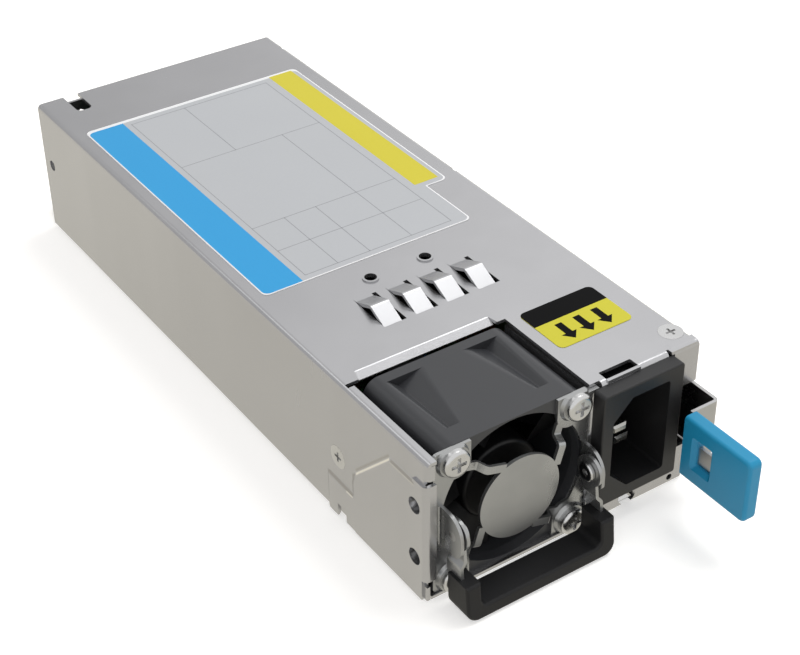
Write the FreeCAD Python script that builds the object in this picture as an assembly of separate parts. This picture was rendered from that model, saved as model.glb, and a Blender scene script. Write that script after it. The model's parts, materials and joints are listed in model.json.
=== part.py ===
import FreeCAD, Part
import math
import os

# Hot swap server power supply, built in millimetres.
# While it is built, x runs right from the case's left face, y runs back from
# its front face and z runs up from its underside. Every piece is moved on
# export, so that the origin is the centre of the case's underside.

# Case
case_width = 73.5
case_length = 185.0
case_height = 39.0
sheet = 0.8
bend = 0.5
nest_gap = 0.1
seat_gap = 0.3
cover_skirt_end = 1.45
right_lip_depth = 4.7
joggle = 0.5
joggle_slope = 1.1
front_reach = 0.7

# Fan
fan_side = case_height - sheet - 0.2
fan_depth = 28.0
fan_left = 4.5
fan_front = 1.8
fan_pitch = fan_side - 6.0
fan_corner = 4.0
fan_bore_radius = fan_side / 2 - 1.0
blade_clearance = 0.5
blade_count = 5
hub_radius = 0.263 * fan_side
shaft_radius = 1.0
run_gap = 0.04
bearing_radius = 3.0
bearing_width = 2.4

# Guard, handle and their screws
ear_half_width = fan_side / 2 + 0.1
guard_half_height = fan_side / 2 - 0.1
guard_opening_radius = fan_side / 2 - 0.2
guard_left_margin = 1.8
guard_right_margin = 0.8
guard_tab_reach = 7.7
guard_disc_radius = 0.276 * fan_side
guard_jog = 2.5
spoke_width = 1.9
ear_reach = 6.6
pivot_forward = 3.4
rivet_radius = 1.2
arm_width = 4.2
arm_end_radius = 3.8
grip_reach = fan_side / 2 + 0.4
grip_thickness = 3.8
grip_depth = 7.6
screw_radius = 1.75
screw_head_radius = 3.3

# Mains inlet
bezel_depth = 3.6
bezel_lift = 7.5
bezel_gap = 1.2
bezel_margin = 7.2
bezel_width = case_width - bezel_margin - fan_left - fan_side - bezel_gap
bezel_height = case_height - bezel_lift - 0.9
inlet_body_width = bezel_width - 2.8
inlet_body_height = bezel_height - 3.8
inlet_depth = 22.0
inlet_floor = 17.0
recess_width = bezel_width - 7.0
recess_height = bezel_height - 6.2
recess_chamfer = 5.0

# Latch
latch_height = 16.5
latch_bottom = 11.0
latch_play = 0.5
latch_pivot_back = 32.0
anchor_length = 12.0
latch_fold_reach = 7.2
latch_tab_inset = 0.7
tab_length = 20.5
tab_thickness = 3.8
barb_height = 1.5

# Boards
board_bottom = 5.4
board_thickness = 1.6
board_front = 32.0
edge_reach = 9.5
edge_width = 64.0
contact_pitch = 2.54
contact_count = 25
insulation_thickness = 0.4
standoff_radius = 3.0
board_screw_radius = 1.25

# Parts on the main board
part_gap = 0.3
sink_thickness = 3.0
fin_reach = 5.0
core_leg = 6.0
choke_wire = 1.3
choke_height = 12.0
filter_wire = 1.2
filter_height = 9.0
package_thickness = 3.6
can_radius = 4.0
can_height = 16.0

# Places worked out from the sizes above
tray_left = sheet + nest_gap
tray_right = case_width - sheet
inner_left = tray_left + sheet
top_inside = case_height - sheet
fan_right = fan_left + fan_side
fan_x = fan_left + fan_side / 2
fan_z = sheet + fan_side / 2
fan_back = fan_front + fan_depth
fan_top = sheet + fan_side
guard_front = fan_front - sheet
bezel_left = fan_right + bezel_gap
bezel_right = bezel_left + bezel_width
inlet_x = bezel_left + bezel_width / 2
inlet_z = bezel_lift + bezel_height / 2
partition_left = fan_right + 0.9
partition_end = fan_back + 1.2
panel_top = top_inside - 0.9
board_top = board_bottom + board_thickness
board_left = inner_left + 0.5
board_right = tray_right - 0.5
board_back = case_length - sheet - 1.0
pivot_y = -pivot_forward
pivot_z = fan_z
arm_outer = fan_x - ear_half_width + sheet + seat_gap
guard_left = fan_left - guard_left_margin
guard_right = fan_right + guard_right_margin
latch_top = latch_bottom + latch_height
latch_mid = latch_bottom + latch_height / 2
window_back = latch_pivot_back
board_width = board_right - board_left
board_length = board_back - board_front
head_room = top_inside - board_top
bulk_radius = min(head_room / 2 - 1.1, case_width / 5)
bulk_left = board_right - 1.5 - 2 * bulk_radius
bulk_front = board_front + 0.225 * board_length
bulk_length = 0.304 * board_length
sink_height = head_room - 4.2
primary_sink_x = bulk_left - package_thickness - sink_thickness - 2.1
primary_sink_front = bulk_front - 4.0
primary_sink_length = bulk_length
package_width = 0.26 * bulk_length
secondary_sink_x = board_left + 6.8
secondary_sink_length = 0.265 * board_length
output_front = board_back - 22.0
secondary_sink_front = output_front - 4.0 - secondary_sink_length
choke_radius = (primary_sink_x - fin_reach - board_left - 1.2) / 2 - choke_wire
choke_x = board_left + 0.4 + choke_radius + choke_wire
choke_y = bulk_front + 4.0
core_width = 0.3857 * board_width
core_length = 0.172 * board_length
core_height = head_room - 5.2
filter_radius = 0.1286 * board_width
relay_width = 0.1429 * board_width
plug_width = 0.1514 * board_width
relay_left = board_left + 0.3043 * board_width
plug_left = relay_left - plug_width - 0.9


def vec(x, y, z):
    return FreeCAD.Vector(x, y, z)


def spot(plane, a, b, level):
    """A point at (a, b) in a plane, at a level along its normal."""
    if plane == "xy":
        return vec(a, b, level)
    if plane == "xz":
        return vec(a, level, b)
    return vec(level, a, b)


def normal(plane):
    return spot(plane, 0, 0, 1)


def box(x0, x1, y0, y1, z0, z1):
    return Part.makeBox(x1 - x0, y1 - y0, z1 - z0, vec(x0, y0, z0))


def rod(plane, a, b, radius, low, high):
    """A cylinder across a plane, from one level to another."""
    return Part.makeCylinder(radius, high - low, spot(plane, a, b, low), normal(plane))


def cone(plane, a, b, low_radius, high_radius, low, high):
    return Part.makeCone(low_radius, high_radius, high - low, spot(plane, a, b, low), normal(plane))


def tube(plane, a, b, outer, inner, low, high):
    return rod(plane, a, b, outer, low, high).cut(rod(plane, a, b, inner, low - 1, high + 1))


def corner_arc(before, corner, after, radius):
    """Start, middle and end of the arc that rounds a corner."""
    to_before = (before - corner).normalize()
    to_after = (after - corner).normalize()
    half = to_before.getAngle(to_after) / 2
    back = radius / math.tan(half)
    towards_centre = (to_before + to_after).normalize()
    middle = corner + towards_centre * (radius / math.sin(half) - radius)
    return corner + to_before * back, middle, corner + to_after * back


def outline(plane, points, level):
    """A closed wire. A point's third number rounds that corner."""
    places = [spot(plane, p[0], p[1], level) for p in points]
    starts = []
    ends = []
    arcs = []
    for index, point in enumerate(points):
        here = places[index]
        radius = point[2] if len(point) > 2 else 0
        if radius > 0:
            start, middle, end = corner_arc(places[index - 1], here, places[(index + 1) % len(points)], radius)
            arcs.append(Part.Arc(start, middle, end).toShape())
        else:
            start = end = here
            arcs.append(None)
        starts.append(start)
        ends.append(end)
    edges = []
    for index, arc in enumerate(arcs):
        if arc is not None:
            edges.append(arc)
        after = starts[(index + 1) % len(points)]
        if ends[index].distanceToPoint(after) > 1e-6:
            edges.append(Part.LineSegment(ends[index], after).toShape())
    return Part.Wire(edges)


def slab(plane, points, low, high):
    """A flat outline carried from one level to another."""
    face = Part.Face(outline(plane, points, low))
    return face.extrude(normal(plane) * (high - low))


def loft(wires):
    """A straight-sided solid between outlines at two levels."""
    solid = Part.makeLoft(wires, True, True)
    if solid.Volume < 0:
        solid.reverse()
    return solid


def rounded(a0, a1, b0, b1, radius):
    """Corner points of a rectangle with rounded corners."""
    return [(a0, b0, radius), (a1, b0, radius), (a1, b1, radius), (a0, b1, radius)]


def ring_of(count, step, centre, axis, shape):
    """Copies of a shape turned about an axis."""
    copies = []
    for index in range(count):
        copy = shape.copy()
        copy.rotate(centre, axis, index * step)
        copies.append(copy)
    return copies


def joined(shapes):
    result = shapes[0]
    for shape in shapes[1:]:
        result = result.fuse(shape)
    return result.removeSplitter()


def without(shape, tools):
    for tool in tools:
        shape = shape.cut(tool)
    return shape


def group(shapes):
    return Part.Compound(shapes)


def softened(shape, radius, wanted):
    """The shape with its chosen straight or round edges filleted."""
    edges = [edge for edge in shape.Edges if wanted(edge)]
    return shape.makeFillet(radius, edges)


def bevelled(shape, size):
    """A round shape with every circular rim bevelled."""
    rims = [edge for edge in shape.Edges if edge.Curve.TypeId == "Part::GeomCircle"]
    return shape.makeChamfer(size, rims)


def fold(plane, path, side, low, high):
    """Bent sheet metal. The path is its outside, and side says which way
    the metal lies: 1 to the left of the path, -1 to the right."""
    steps = []
    for start, end in zip(path, path[1:]):
        length = math.hypot(end[0] - start[0], end[1] - start[1])
        steps.append(((end[0] - start[0]) / length, (end[1] - start[1]) / length))
    outer = []
    inner = []
    for index, point in enumerate(path):
        first = steps[max(index - 1, 0)]
        last = steps[min(index, len(steps) - 1)]
        turn = first[0] * last[1] - first[1] * last[0]
        spread = 1 + first[0] * last[0] + first[1] * last[1]
        offset_a = -side * sheet * (first[1] + last[1]) / spread
        offset_b = side * sheet * (first[0] + last[0]) / spread
        if abs(turn) < 1e-9:
            near = far = 0
        elif turn * side > 0:
            near = bend + sheet
            far = bend
        else:
            near = bend
            far = bend + sheet
        outer.append((point[0], point[1], near))
        inner.append((point[0] + offset_a, point[1] + offset_b, far))
    return slab(plane, outer + inner[::-1], low, high)


# Case

def hexagon(x, z, flats, low, high):
    radius = flats / math.sqrt(3)
    points = []
    for index in range(6):
        angle = math.radians(60 * index)
        points.append((x + radius * math.sin(angle), z + radius * math.cos(angle)))
    return slab("xz", points, low, high)


def vent_holes():
    """Staggered hexagonal vents over the rear wall, above the card edge."""
    flats = 4.4
    pitch = 5.7
    row_rise = pitch * math.sqrt(3) / 2
    border = 4.6
    holes = []
    row = 0
    z = board_top + 5.2
    while z < top_inside - border:
        x = inner_left + border + (row % 2) * pitch / 2
        while x < tray_right - border:
            holes.append(hexagon(x, z, flats, case_length - sheet - 1, case_length + 1))
            x += pitch
        z += row_rise
        row += 1
    return holes


side_screw_y = 33.7
side_screw_z = 17.7
top_screw_x = case_width - 3.1
top_screw_y = 6.1
key_left = 7.65
key_right = 12.0
key_front = case_length - 9.8
wall_hole_y = 3.25
wall_hole_radius = 2.0
wall_hole_bottom = 11.7
wall_hole_pitch = 14.2
rear_hole_y = case_length - 4.8
rear_hole_z = 22.25


def channel():
    """The tray's base with its two side walls."""
    shoulder = case_height - right_lip_depth - 1.0
    path = [
        (tray_left, case_height - 6.0),
        (tray_left, 0),
        (case_width, 0),
        (case_width, shoulder),
        (tray_right - nest_gap, shoulder + 1.0),
        (tray_right - nest_gap, panel_top + 0.4),
    ]
    body = fold("xz", path, 1, 0.5, case_length)
    over = case_height + 1
    left_open = box(-1, inner_left + bend, -1, partition_end, 6.0, over)
    left_low = box(-1, inner_left + 0.2, -1, 1.4, -1, over)
    front_right = box(partition_left - 0.4, case_width + 1, -1, bend + sheet, -1, over)
    rear = box(-1, case_width + 1, case_length - bend - sheet, case_length + 1, -1, over)
    return without(body, [left_open, left_low, front_right, rear])


def front_panel():
    """The folded front around the inlet, with the wall beside the fan."""
    run = 6.0
    foot = fold("yz", [(run, 0), (0, 0), (0, bezel_lift)], -1, partition_left, case_width - 1.6)
    face = box(partition_left + 2, case_width - 3, 0, sheet, bezel_lift - 0.5, panel_top)
    wall_path = [(partition_left, partition_end), (partition_left, 0), (partition_left + 4, 0)]
    wall = fold("xy", wall_path, 1, sheet, panel_top)
    right_path = [(case_width - 5, 0), (case_width, 0), (case_width, run)]
    right = fold("xy", right_path, 1, 2.0, case_height - right_lip_depth - 1.3)
    return [foot, face, wall, right]


def rear_wall():
    path = [(case_length - 6, 0), (case_length, 0), (case_length, panel_top)]
    return fold("yz", path, 1, inner_left + 0.3, tray_right - 0.4)


def top_screw_tab():
    z = top_inside - nest_gap
    x = tray_right - nest_gap
    return fold("xz", [(x, z - 5), (x, z), (x - 6.2, z)], 1, top_screw_y - 3.6, top_screw_y + 3.7)


def latch_recess():
    """Inward step in the right wall that carries the latch's anchor."""
    back = window_back + anchor_length + 1
    return box(tray_right - sheet, tray_right + 0.01, window_back - sheet, back, latch_bottom - 2,
               latch_top + 2)


def chassis_tray():
    tray = joined([channel()] + front_panel() + [rear_wall(), top_screw_tab(), latch_recess()])
    reach = seat_gap / 2
    body = box(inlet_x - inlet_body_width / 2 - reach, inlet_x + inlet_body_width / 2 + reach, -1,
               sheet + 1, inlet_z - inlet_body_height / 2 - reach, inlet_z + inlet_body_height / 2 + reach)
    window = slab("yz", rounded(-2, window_back, latch_bottom - latch_play, latch_top + latch_play, 0.4),
                  tray_right - sheet, case_width + 1)
    mouth = box(bezel_right + 1.4, case_width + 1, -1, sheet + 1, latch_bottom - latch_play,
                latch_top + latch_play)
    pocket = box(tray_right, case_width + 1, window_back - 1, window_back + anchor_length + seat_gap,
                 latch_bottom - latch_play, latch_top + latch_play)
    rivets = [rod("yz", y, z, rivet_radius, tray_right - sheet - 1, case_width + 1)
              for y, z in anchor_rivets()]
    slot_x = bezel_left + 12
    slot = slab("xy", rounded(slot_x - 2.8, slot_x + 2.6, -2, 4.5, 0.8), -1, sheet + 0.01)
    drain = rod("xz", slot_x, 2.9, 2.5, -1, sheet + 0.3)
    dot = rod("xz", case_width - 5.1, 2.2, 0.8, -1, sheet + 0.3)
    card = slab("xz", rounded(edge_left() - 0.8, edge_left() + edge_width + 0.8, board_bottom - 1.4,
                              board_top + 1.4, 0.8), case_length - sheet - 1, case_length + 1)
    screw = rod("yz", side_screw_y, side_screw_z, 1.3, 0, inner_left + 3)
    top_hole = rod("xy", top_screw_x, top_screw_y, 1.3, top_inside - 3, case_height)
    feet = [rod("xy", x, y, 1.5, -1, sheet + 1) for x, y in standoff_places()]
    return without(tray, [body, window, mouth, pocket, slot, drain, dot, card, screw, top_hole]
                   + rivets + feet + vent_holes())


def countersink(plane, a, b, outside, inward):
    """Hole for a flat-headed screw, its wide mouth at the outside face."""
    if inward > 0:
        seat = cone(plane, a, b, 3.0, 1.6, outside - 0.01, outside + sheet + 0.01)
        return seat
    return cone(plane, a, b, 1.6, 3.0, outside - sheet - 0.01, outside + 0.01)


def finger_places():
    """Left edges of the four spring fingers on the top."""
    return [19.7 + 8.69 * index for index in range(4)]


finger_width = 4.8
finger_gap = 1.1
finger_root = 55.6
finger_crest = 49.7
finger_tip = 44.1
finger_rise = 2.4


def spring_finger(left):
    top = case_height
    path = [
        (finger_root + 2, top),
        (finger_root, top),
        (finger_crest, top + finger_rise),
        (finger_tip, top - 0.3),
    ]
    return fold("yz", path, 1, left, left + finger_width)


def front_joggle():
    """Area at the front of the left wall that stands out a little, with
    sloping edges, and the like hollow on the wall's inside."""
    area = [(-3, 32.4), (12.7, 32.4), (26.7, 18.4), (27.9, 14.8), (27.6, 12.0), (38.2, 11.6), (38.2, -3),
            (-3, -3)]
    raised = slab("yz", area, -joggle, 0)
    rims = [edge for edge in raised.Edges
            if abs(edge.CenterOfMass.x + joggle) < 1e-6 and edge.CenterOfMass.y > -2 and edge.CenterOfMass.z > -2]
    raised = raised.makeChamfer(joggle * 0.98, joggle_slope, rims)
    hollow = raised.copy()
    hollow.translate(vec(sheet, 0, 0))
    trim = box(-joggle - 1, sheet + 1, bend + sheet - front_reach, 60, cover_skirt_end - 0.35, case_height)
    return raised.common(trim), hollow.common(trim)


def top_cover():
    end = case_height - right_lip_depth
    path = [(0, cover_skirt_end), (0, case_height), (case_width, case_height), (case_width, end)]
    shell = fold("xz", path, -1, -front_reach, case_length)
    raised, hollow = front_joggle()
    fan_gap = 2.4
    strip_low = 6.6
    strip_high = 32.8
    notch = 1.4
    hem_path = [(-joggle, 4), (-joggle, -front_reach), (fan_gap, -front_reach)]
    hem = fold("xy", hem_path, 1, strip_low, strip_high)
    upper_path = [(0, 4), (0, -front_reach), (fan_gap - 0.4, -front_reach)]
    upper_hem = fold("xy", upper_path, 1, strip_high + notch, top_inside - 0.1)
    bend_end = bend + sheet - front_reach
    clear_front = box(-2, sheet + 0.01, -2, bend_end, strip_low, strip_high)
    clear_upper = box(-2, sheet + 0.01, -2, bend_end, strip_high + notch, top_inside - 0.1)
    clear_top = box(fan_gap, case_width + 1, -2, 0, 0, case_height + 1)
    notch_low = box(-2, notch, -2, 0.4, strip_low - notch, strip_low)
    notch_high = box(-2, notch, -2, 0.4, strip_high, strip_high + notch)
    shell = joined([without(shell, [clear_front, clear_upper, clear_top]), raised, upper_hem])
    shell = without(shell, [hollow, notch_low, notch_high])
    front_right = partition_left + 2.6
    brow = [(front_right, front_right + 1.6), (front_right + 10.5, front_right + 18.7)]
    lips = [fold("yz", [(4, case_height), (0, case_height), (0, panel_top + 0.25)], 1, low, high)
            for low, high in brow]
    lip_back = 34.0
    front_cut = box(front_right - 2.8, brow[1][1] + 0.1, -1, bend + sheet, top_inside - bend, case_height + 1)
    opening = box(fan_gap, partition_left, -1, fan_back + 1.2, top_inside - 1, case_height + 1)
    relief = box(fan_gap - 1.5, fan_left - 0.5, fan_back - 0.1, fan_back + 1.2, top_inside - 1,
                 case_height + 1)
    rear_gap = slab("xy", [(fan_left - 0.5, fan_back), (partition_left - 1.9, fan_back),
                           (partition_left - 2.7, lip_back), (fan_left + 0.7, lip_back)],
                    top_inside - 1, case_height + 1)
    ramp = fold("yz", [(lip_back + 3, case_height), (lip_back, case_height), (lip_back - 2.1, 37.9)], 1,
                fan_left + 0.5, partition_left - 2.5)
    cuts = [opening, relief, rear_gap]
    slots = [box(left - 0.1, left + finger_width + finger_gap, finger_tip - 0.3, finger_root + 0.9,
                 top_inside - 1, case_height + 1) for left in finger_places()]
    window = slab("xy", rounded(front_right + 1.6, front_right + 10.4, bend + 0.3, 3.5, 0.3),
                  top_inside - 1, case_height + 1)
    corner = box(front_right + 18.7, front_right + 19.4, -1, 1.3, top_inside - 1, case_height + 1)
    key = slab("xy", [(key_left, key_front, 1.5), (key_right, key_front, 1.5), (key_right, case_length + 2),
                      (key_left, case_length + 2)], top_inside - 1, case_height + 1)
    nicks = [box(case_width - 1.0, case_width + 1, y, y + 2.3, case_height - 1.6, case_height + 1)
             for y in (case_length - 9.5, case_length / 2 - 2.0)]
    holes = [rod("yz", wall_hole_y, z, wall_hole_radius, -3, 3) for z in wall_hole_heights()]
    rims = [tube("yz", wall_hole_y, z, wall_hole_radius + 0.45, wall_hole_radius, -joggle, sheet + 0.6)
            for z in wall_hole_heights()]
    rear_hole = rod("yz", rear_hole_y, rear_hole_z, 1.5, -3, sheet + 0.05)
    square = box(-2, 3, 30.1, 33.6, -1, 4.6)
    steps = box(-2, 3, 26.5, 30.2, -1, cover_skirt_end - 0.1)
    shell = without(shell, cuts + slots + nicks + [front_cut, square, steps, key, window, corner])
    fingers = [spring_finger(left) for left in finger_places()]
    collars = [tube("xy", x, top_hole_y, 2.0, 1.5, top_inside, case_height + 0.35) for x in top_hole_places()]
    strip = box(front_right + 1.5, front_right + 10.6, 0, bend + 0.3, top_inside, case_height)
    shell = joined([shell, hem, ramp, strip] + lips + fingers + collars + rims)
    wells = [rod("xy", x, top_hole_y, 1.5, 0, case_height + 2) for x in top_hole_places()]
    wells += holes + [rear_hole]
    sinks = [countersink("yz", side_screw_y, side_screw_z, 0, 1),
             countersink("xy", top_screw_x, top_screw_y, case_height, -1)]
    return without(shell, wells + sinks)


top_hole_y = 61.85


def top_hole_places():
    return [27.8, 27.8 + 15.35]


def wall_hole_heights():
    return [wall_hole_bottom, wall_hole_bottom + wall_hole_pitch]


def cover_screws():
    """Two countersunk screws that hold the cover on the tray."""
    side = joined([cone("yz", side_screw_y, side_screw_z, 2.9, 1.5, 0.02, sheet),
                   rod("yz", side_screw_y, side_screw_z, 1.25, 0.3, inner_left + 1.2)])
    top = joined([cone("xy", top_screw_x, top_screw_y, 1.5, 2.9, top_inside, case_height - 0.02),
                  rod("xy", top_screw_x, top_screw_y, 1.25, top_inside - 2.2, case_height - 0.3)])
    side_cross = cross("yz", side_screw_y, side_screw_z, 1.3, 0.3, -1, 0.5)
    top_cross = cross("xy", top_screw_x, top_screw_y, 1.3, 0.3, case_height - 0.5, case_height + 1)
    return group([side.cut(side_cross), top.cut(top_cross)])


def cross(plane, a, b, reach, half, low, high):
    """Cross-shaped drive, as a cutting tool."""
    bars = [slab(plane, rounded(a - reach, a + reach, b - half, b + half, half * 0.4), low, high),
            slab(plane, rounded(a - half, a + half, b - reach, b + reach, half * 0.4), low, high)]
    return joined(bars)


# Fan

def corner_places():
    half = fan_pitch / 2
    return [(fan_x + sx * half, fan_z + sz * half) for sx in (-1, 1) for sz in (-1, 1)]


def side_groove(mirror):
    """Wedge cut out between a corner post and the round duct, deeper at
    the back than at the front."""
    half = fan_side / 2
    crest = fan_corner
    valley = fan_corner + 3.4
    back = [(crest - 1.2, 2.4), (crest - 1.2, 0), (crest + 0.6, 0, 1.6), (valley, -2.3, 0.4),
            (valley + 5.4, 0, 6.0), (valley + 7.6, 0), (valley + 7.6, 2.4)]
    front = [(crest + 0.2, 2.4), (crest + 0.2, 0), (crest + 1.8, 0, 1.0), (valley - 0.2, -1.0, 0.3),
             (valley + 1.4, 0, 1.6), (valley + 2.6, 0), (valley + 2.6, 2.4)]
    wires = []
    for points, y in ((front, fan_front + 5.2), (back, fan_back - 2.8)):
        places = []
        for inset, rise, *rounding in points:
            places.append((fan_x + mirror * (inset - half), fan_z + half + rise, *rounding))
        wires.append(outline("xz", places, y))
    return loft(wires)


def fan_frame():
    """Square frame with a round duct, carrying the motor on struts at the
    back."""
    half = fan_side / 2
    body = slab("xz", rounded(fan_x - half, fan_x + half, fan_z - half, fan_z + half, fan_corner),
                fan_front, fan_back)
    bore = rod("xz", fan_x, fan_z, fan_bore_radius, fan_front - 1, fan_back + 1)
    flare = cone("xz", fan_x, fan_z, fan_bore_radius + 0.6, fan_bore_radius, fan_front - 0.01, fan_front + 2)
    holes = [rod("xz", x, z, screw_radius + 0.1, fan_front - 1, fan_back + 1) for x, z in corner_places()]
    grooves = [side_groove(1), side_groove(-1)]
    centre = vec(fan_x, 0, fan_z)
    cuts = []
    for groove in grooves:
        cuts += ring_of(4, 90, centre, vec(0, 1, 0), groove)
    frame = without(body, [bore, flare] + holes + cuts)
    base = rod("xz", fan_x, fan_z, hub_radius - 0.4, fan_back - 2.2, fan_back - 0.2)
    post = rod("xz", fan_x, fan_z, bearing_radius + 0.9, post_front(), fan_back - 1)
    strut = slab("xz", [(-1.2, hub_radius - 1.0), (1.2, hub_radius - 1.0), (2.6, fan_bore_radius + 0.5),
                        (0.4, fan_bore_radius + 0.5)], fan_back - 3.4, fan_back - 0.4)
    strut.translate(vec(fan_x, 0, fan_z))
    struts = ring_of(5, 72, centre, vec(0, 1, 0), strut)
    frame = joined([frame, base, post] + struts)
    pocket = rod("xz", fan_x, fan_z, bearing_radius, post_front() - 1, fan_back - 1.2)
    lead_x = fan_x - half + 2.0
    exit_notch = box(lead_x - 1.5, lead_x + 1.5, fan_back - 1.2, fan_back + 1, fan_z + 8.0, fan_z + 10.4)
    return without(frame, [pocket, exit_notch])


def post_front():
    return fan_front + 8.0


def fan_bearings():
    """Front and rear ball bearings in the motor's post."""
    rings = []
    for low in (post_front() + 0.4, fan_back - 1.2 - bearing_width):
        rings.append(tube("xz", fan_x, fan_z, bearing_radius, bearing_radius - 0.6, low, low + bearing_width))
        rings.append(tube("xz", fan_x, fan_z, shaft_radius + 0.6, shaft_radius + run_gap, low,
                          low + bearing_width))
        rings.append(tube("xz", fan_x, fan_z, bearing_radius - 0.6, shaft_radius + 0.6, low + 0.2,
                          low + bearing_width - 0.2))
    return group(rings)


def fan_stator():
    """Laminated core with four wound poles around the motor's post."""
    low = post_front() + 2
    high = fan_back - 6.5
    core_edge = hub_radius - 4.6
    shoe = hub_radius - 3.4
    tip = hub_radius - 2.6
    core = tube("xz", fan_x, fan_z, core_edge, bearing_radius + 0.9, low, high)
    pole = joined([box(-0.9, 0.9, low, high, core_edge - 0.4, tip),
                   box(-shoe / 2, shoe / 2, low, high, shoe, tip)])
    coil = slab("xz", rounded(-2.0, 2.0, core_edge + 0.2, shoe - 0.1, 0.3), low - 1.2, high + 1.2)
    coil = coil.cut(box(-0.9, 0.9, low - 2, high + 2, 0, 10))
    centre = vec(0, 0, 0)
    pole = pole.common(rod("xz", 0, 0, hub_radius - 2.4, low, high))
    poles = ring_of(4, 90, centre, vec(0, 1, 0), pole)
    coils = ring_of(4, 90, centre, vec(0, 1, 0), coil)
    for piece in poles + coils:
        piece.translate(vec(fan_x, 0, fan_z))
    return group([joined([core] + poles)] + coils)


def fan_board():
    """Ring-shaped driver board against the motor's base."""
    high = fan_back - 2.2
    board = tube("xz", fan_x, fan_z, hub_radius - 1.2, bearing_radius + 0.95, high - 0.8, high)
    chip_x = fan_x + hub_radius - 5.6
    chip = box(chip_x, chip_x + 3.0, high - 1.9, high - 0.8, fan_z - 1.6, fan_z + 1.6)
    return group([board, chip])


def blade_section(radius, front, back, sweep, thickness):
    """Cambered section of a blade on a flat that touches the hub's
    cylinder at one radius."""
    bow = 0.16 * math.hypot(sweep, back - front)
    length = math.hypot(sweep, back - front)
    along_x = sweep / length
    along_y = (back - front) / length
    middle_x = along_y * bow
    middle_y = (front + back) / 2 - along_x * bow
    z = fan_z + radius
    start = vec(fan_x - sweep / 2, front, z)
    end = vec(fan_x + sweep / 2, back, z)
    outside = vec(fan_x + middle_x + along_y * thickness / 2, middle_y - along_x * thickness / 2, z)
    inside = vec(fan_x + middle_x - along_y * thickness / 2, middle_y + along_x * thickness / 2, z)
    return Part.Wire([Part.Arc(start, outside, end).toShape(), Part.Arc(end, inside, start).toShape()])


def impeller_front():
    return fan_front + 3.4


def fan_impeller():
    """Cup-shaped hub with swept blades."""
    front = impeller_front()
    back = fan_back - 4.6
    hub = rod("xz", fan_x, fan_z, hub_radius, front, back)
    hub = softened(hub, 1.0, lambda edge: abs(edge.CenterOfMass.y - front) < 1e-6)
    cavity = rod("xz", fan_x, fan_z, hub_radius - 0.8, front + 1.0, back + 1)
    nose = rod("xz", fan_x, fan_z, 2.6, front + 0.4, front + 1.4)
    tip = fan_bore_radius - blade_clearance
    root_radius = math.sqrt((hub_radius - 0.3) ** 2 - 9)
    root = blade_section(root_radius, front + 1.5, back - 0.8, 0.7 * hub_radius, 1.6)
    waist = blade_section((hub_radius + tip) / 2, front + 1.0, back - 1.6, 1.4 * hub_radius, 1.4)
    edge = blade_section(tip + 1.5, front + 0.5, back - 2.6, 2.1 * hub_radius, 1.2)
    blade = Part.makeLoft([root, waist, edge], True)
    blade = blade.common(rod("xz", fan_x, fan_z, tip, front - 2, back + 2))
    blades = ring_of(blade_count, 360 / blade_count, vec(fan_x, 0, fan_z), vec(0, 1, 0), blade)
    wheel = joined([hub] + blades)
    wheel = wheel.cut(cavity)
    return wheel.fuse(nose).cut(rod("xz", fan_x, fan_z, shaft_radius, front + 0.9, back)).removeSplitter()


def rotor_yoke():
    """Steel cup pressed into the hub, with the boss that grips the shaft."""
    front = impeller_front() + 1.4
    back = fan_back - 5.0
    cup = rod("xz", fan_x, fan_z, hub_radius - 0.8, front, back)
    cup = cup.cut(rod("xz", fan_x, fan_z, hub_radius - 1.4, front + 0.6, back + 1))
    boss = rod("xz", fan_x, fan_z, 2.2, front, front + 2.2)
    return cup.fuse(boss).cut(rod("xz", fan_x, fan_z, shaft_radius, front - 1, back)).removeSplitter()


def rotor_magnet():
    return tube("xz", fan_x, fan_z, hub_radius - 1.4, hub_radius - 2.1, post_front() + 0.8, fan_back - 5.4)


def fan_shaft():
    body = rod("xz", fan_x, fan_z, shaft_radius, fan_front + 4.4, fan_back - 1.6)
    return bevelled(body, 0.2)


# Guard and handle

def guard_spoke():
    """Narrow strip that leaves a corner tab sideways, steps forward and
    runs into the raised centre disc."""
    start_u = guard_tab_reach - fan_side / 2 - 1.0
    start_w = fan_side / 2 - guard_tab_reach + 0.9
    end_u = -0.38 * guard_disc_radius
    end_w = 0.97 * guard_disc_radius - spoke_width / 4
    length = math.hypot(end_u - start_u, end_w - start_w)
    lead = 2.4
    path = [(0, guard_front), (lead, guard_front), (lead + 1.2, guard_front - guard_jog),
            (length, guard_front - guard_jog)]
    strip = fold("xy", path, 1, -spoke_width / 2, spoke_width / 2)
    strip.rotate(vec(0, 0, 0), vec(0, 1, 0), -math.degrees(math.atan2(end_w - start_w, end_u - start_u)))
    strip.translate(vec(fan_x + start_u, 0, fan_z + start_w))
    return strip


def guard_ear(left):
    """Side plate bent forward out of the guard to carry the handle."""
    if left < fan_x:
        path = [(left - 1.0, fan_front), (left + sheet, fan_front), (left + sheet, -ear_reach - 1)]
        side = -1
    else:
        path = [(left + 0.6, fan_front), (left - sheet, fan_front), (left - sheet, -ear_reach - 1)]
        side = 1
    bent = fold("xy", path, side, fan_z - 5.4, fan_z + 5.0)
    shape = [(fan_front, fan_z - 5.4), (fan_front, fan_z + 5.0),
             (-ear_reach, fan_z + 5.0, 5.2), (-ear_reach, fan_z - 3.3, 1.0), (-ear_reach + 1.7, fan_z - 5.4, 1.0)]
    return bent.common(slab("yz", shape, left - 8, left + 8))


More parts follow.
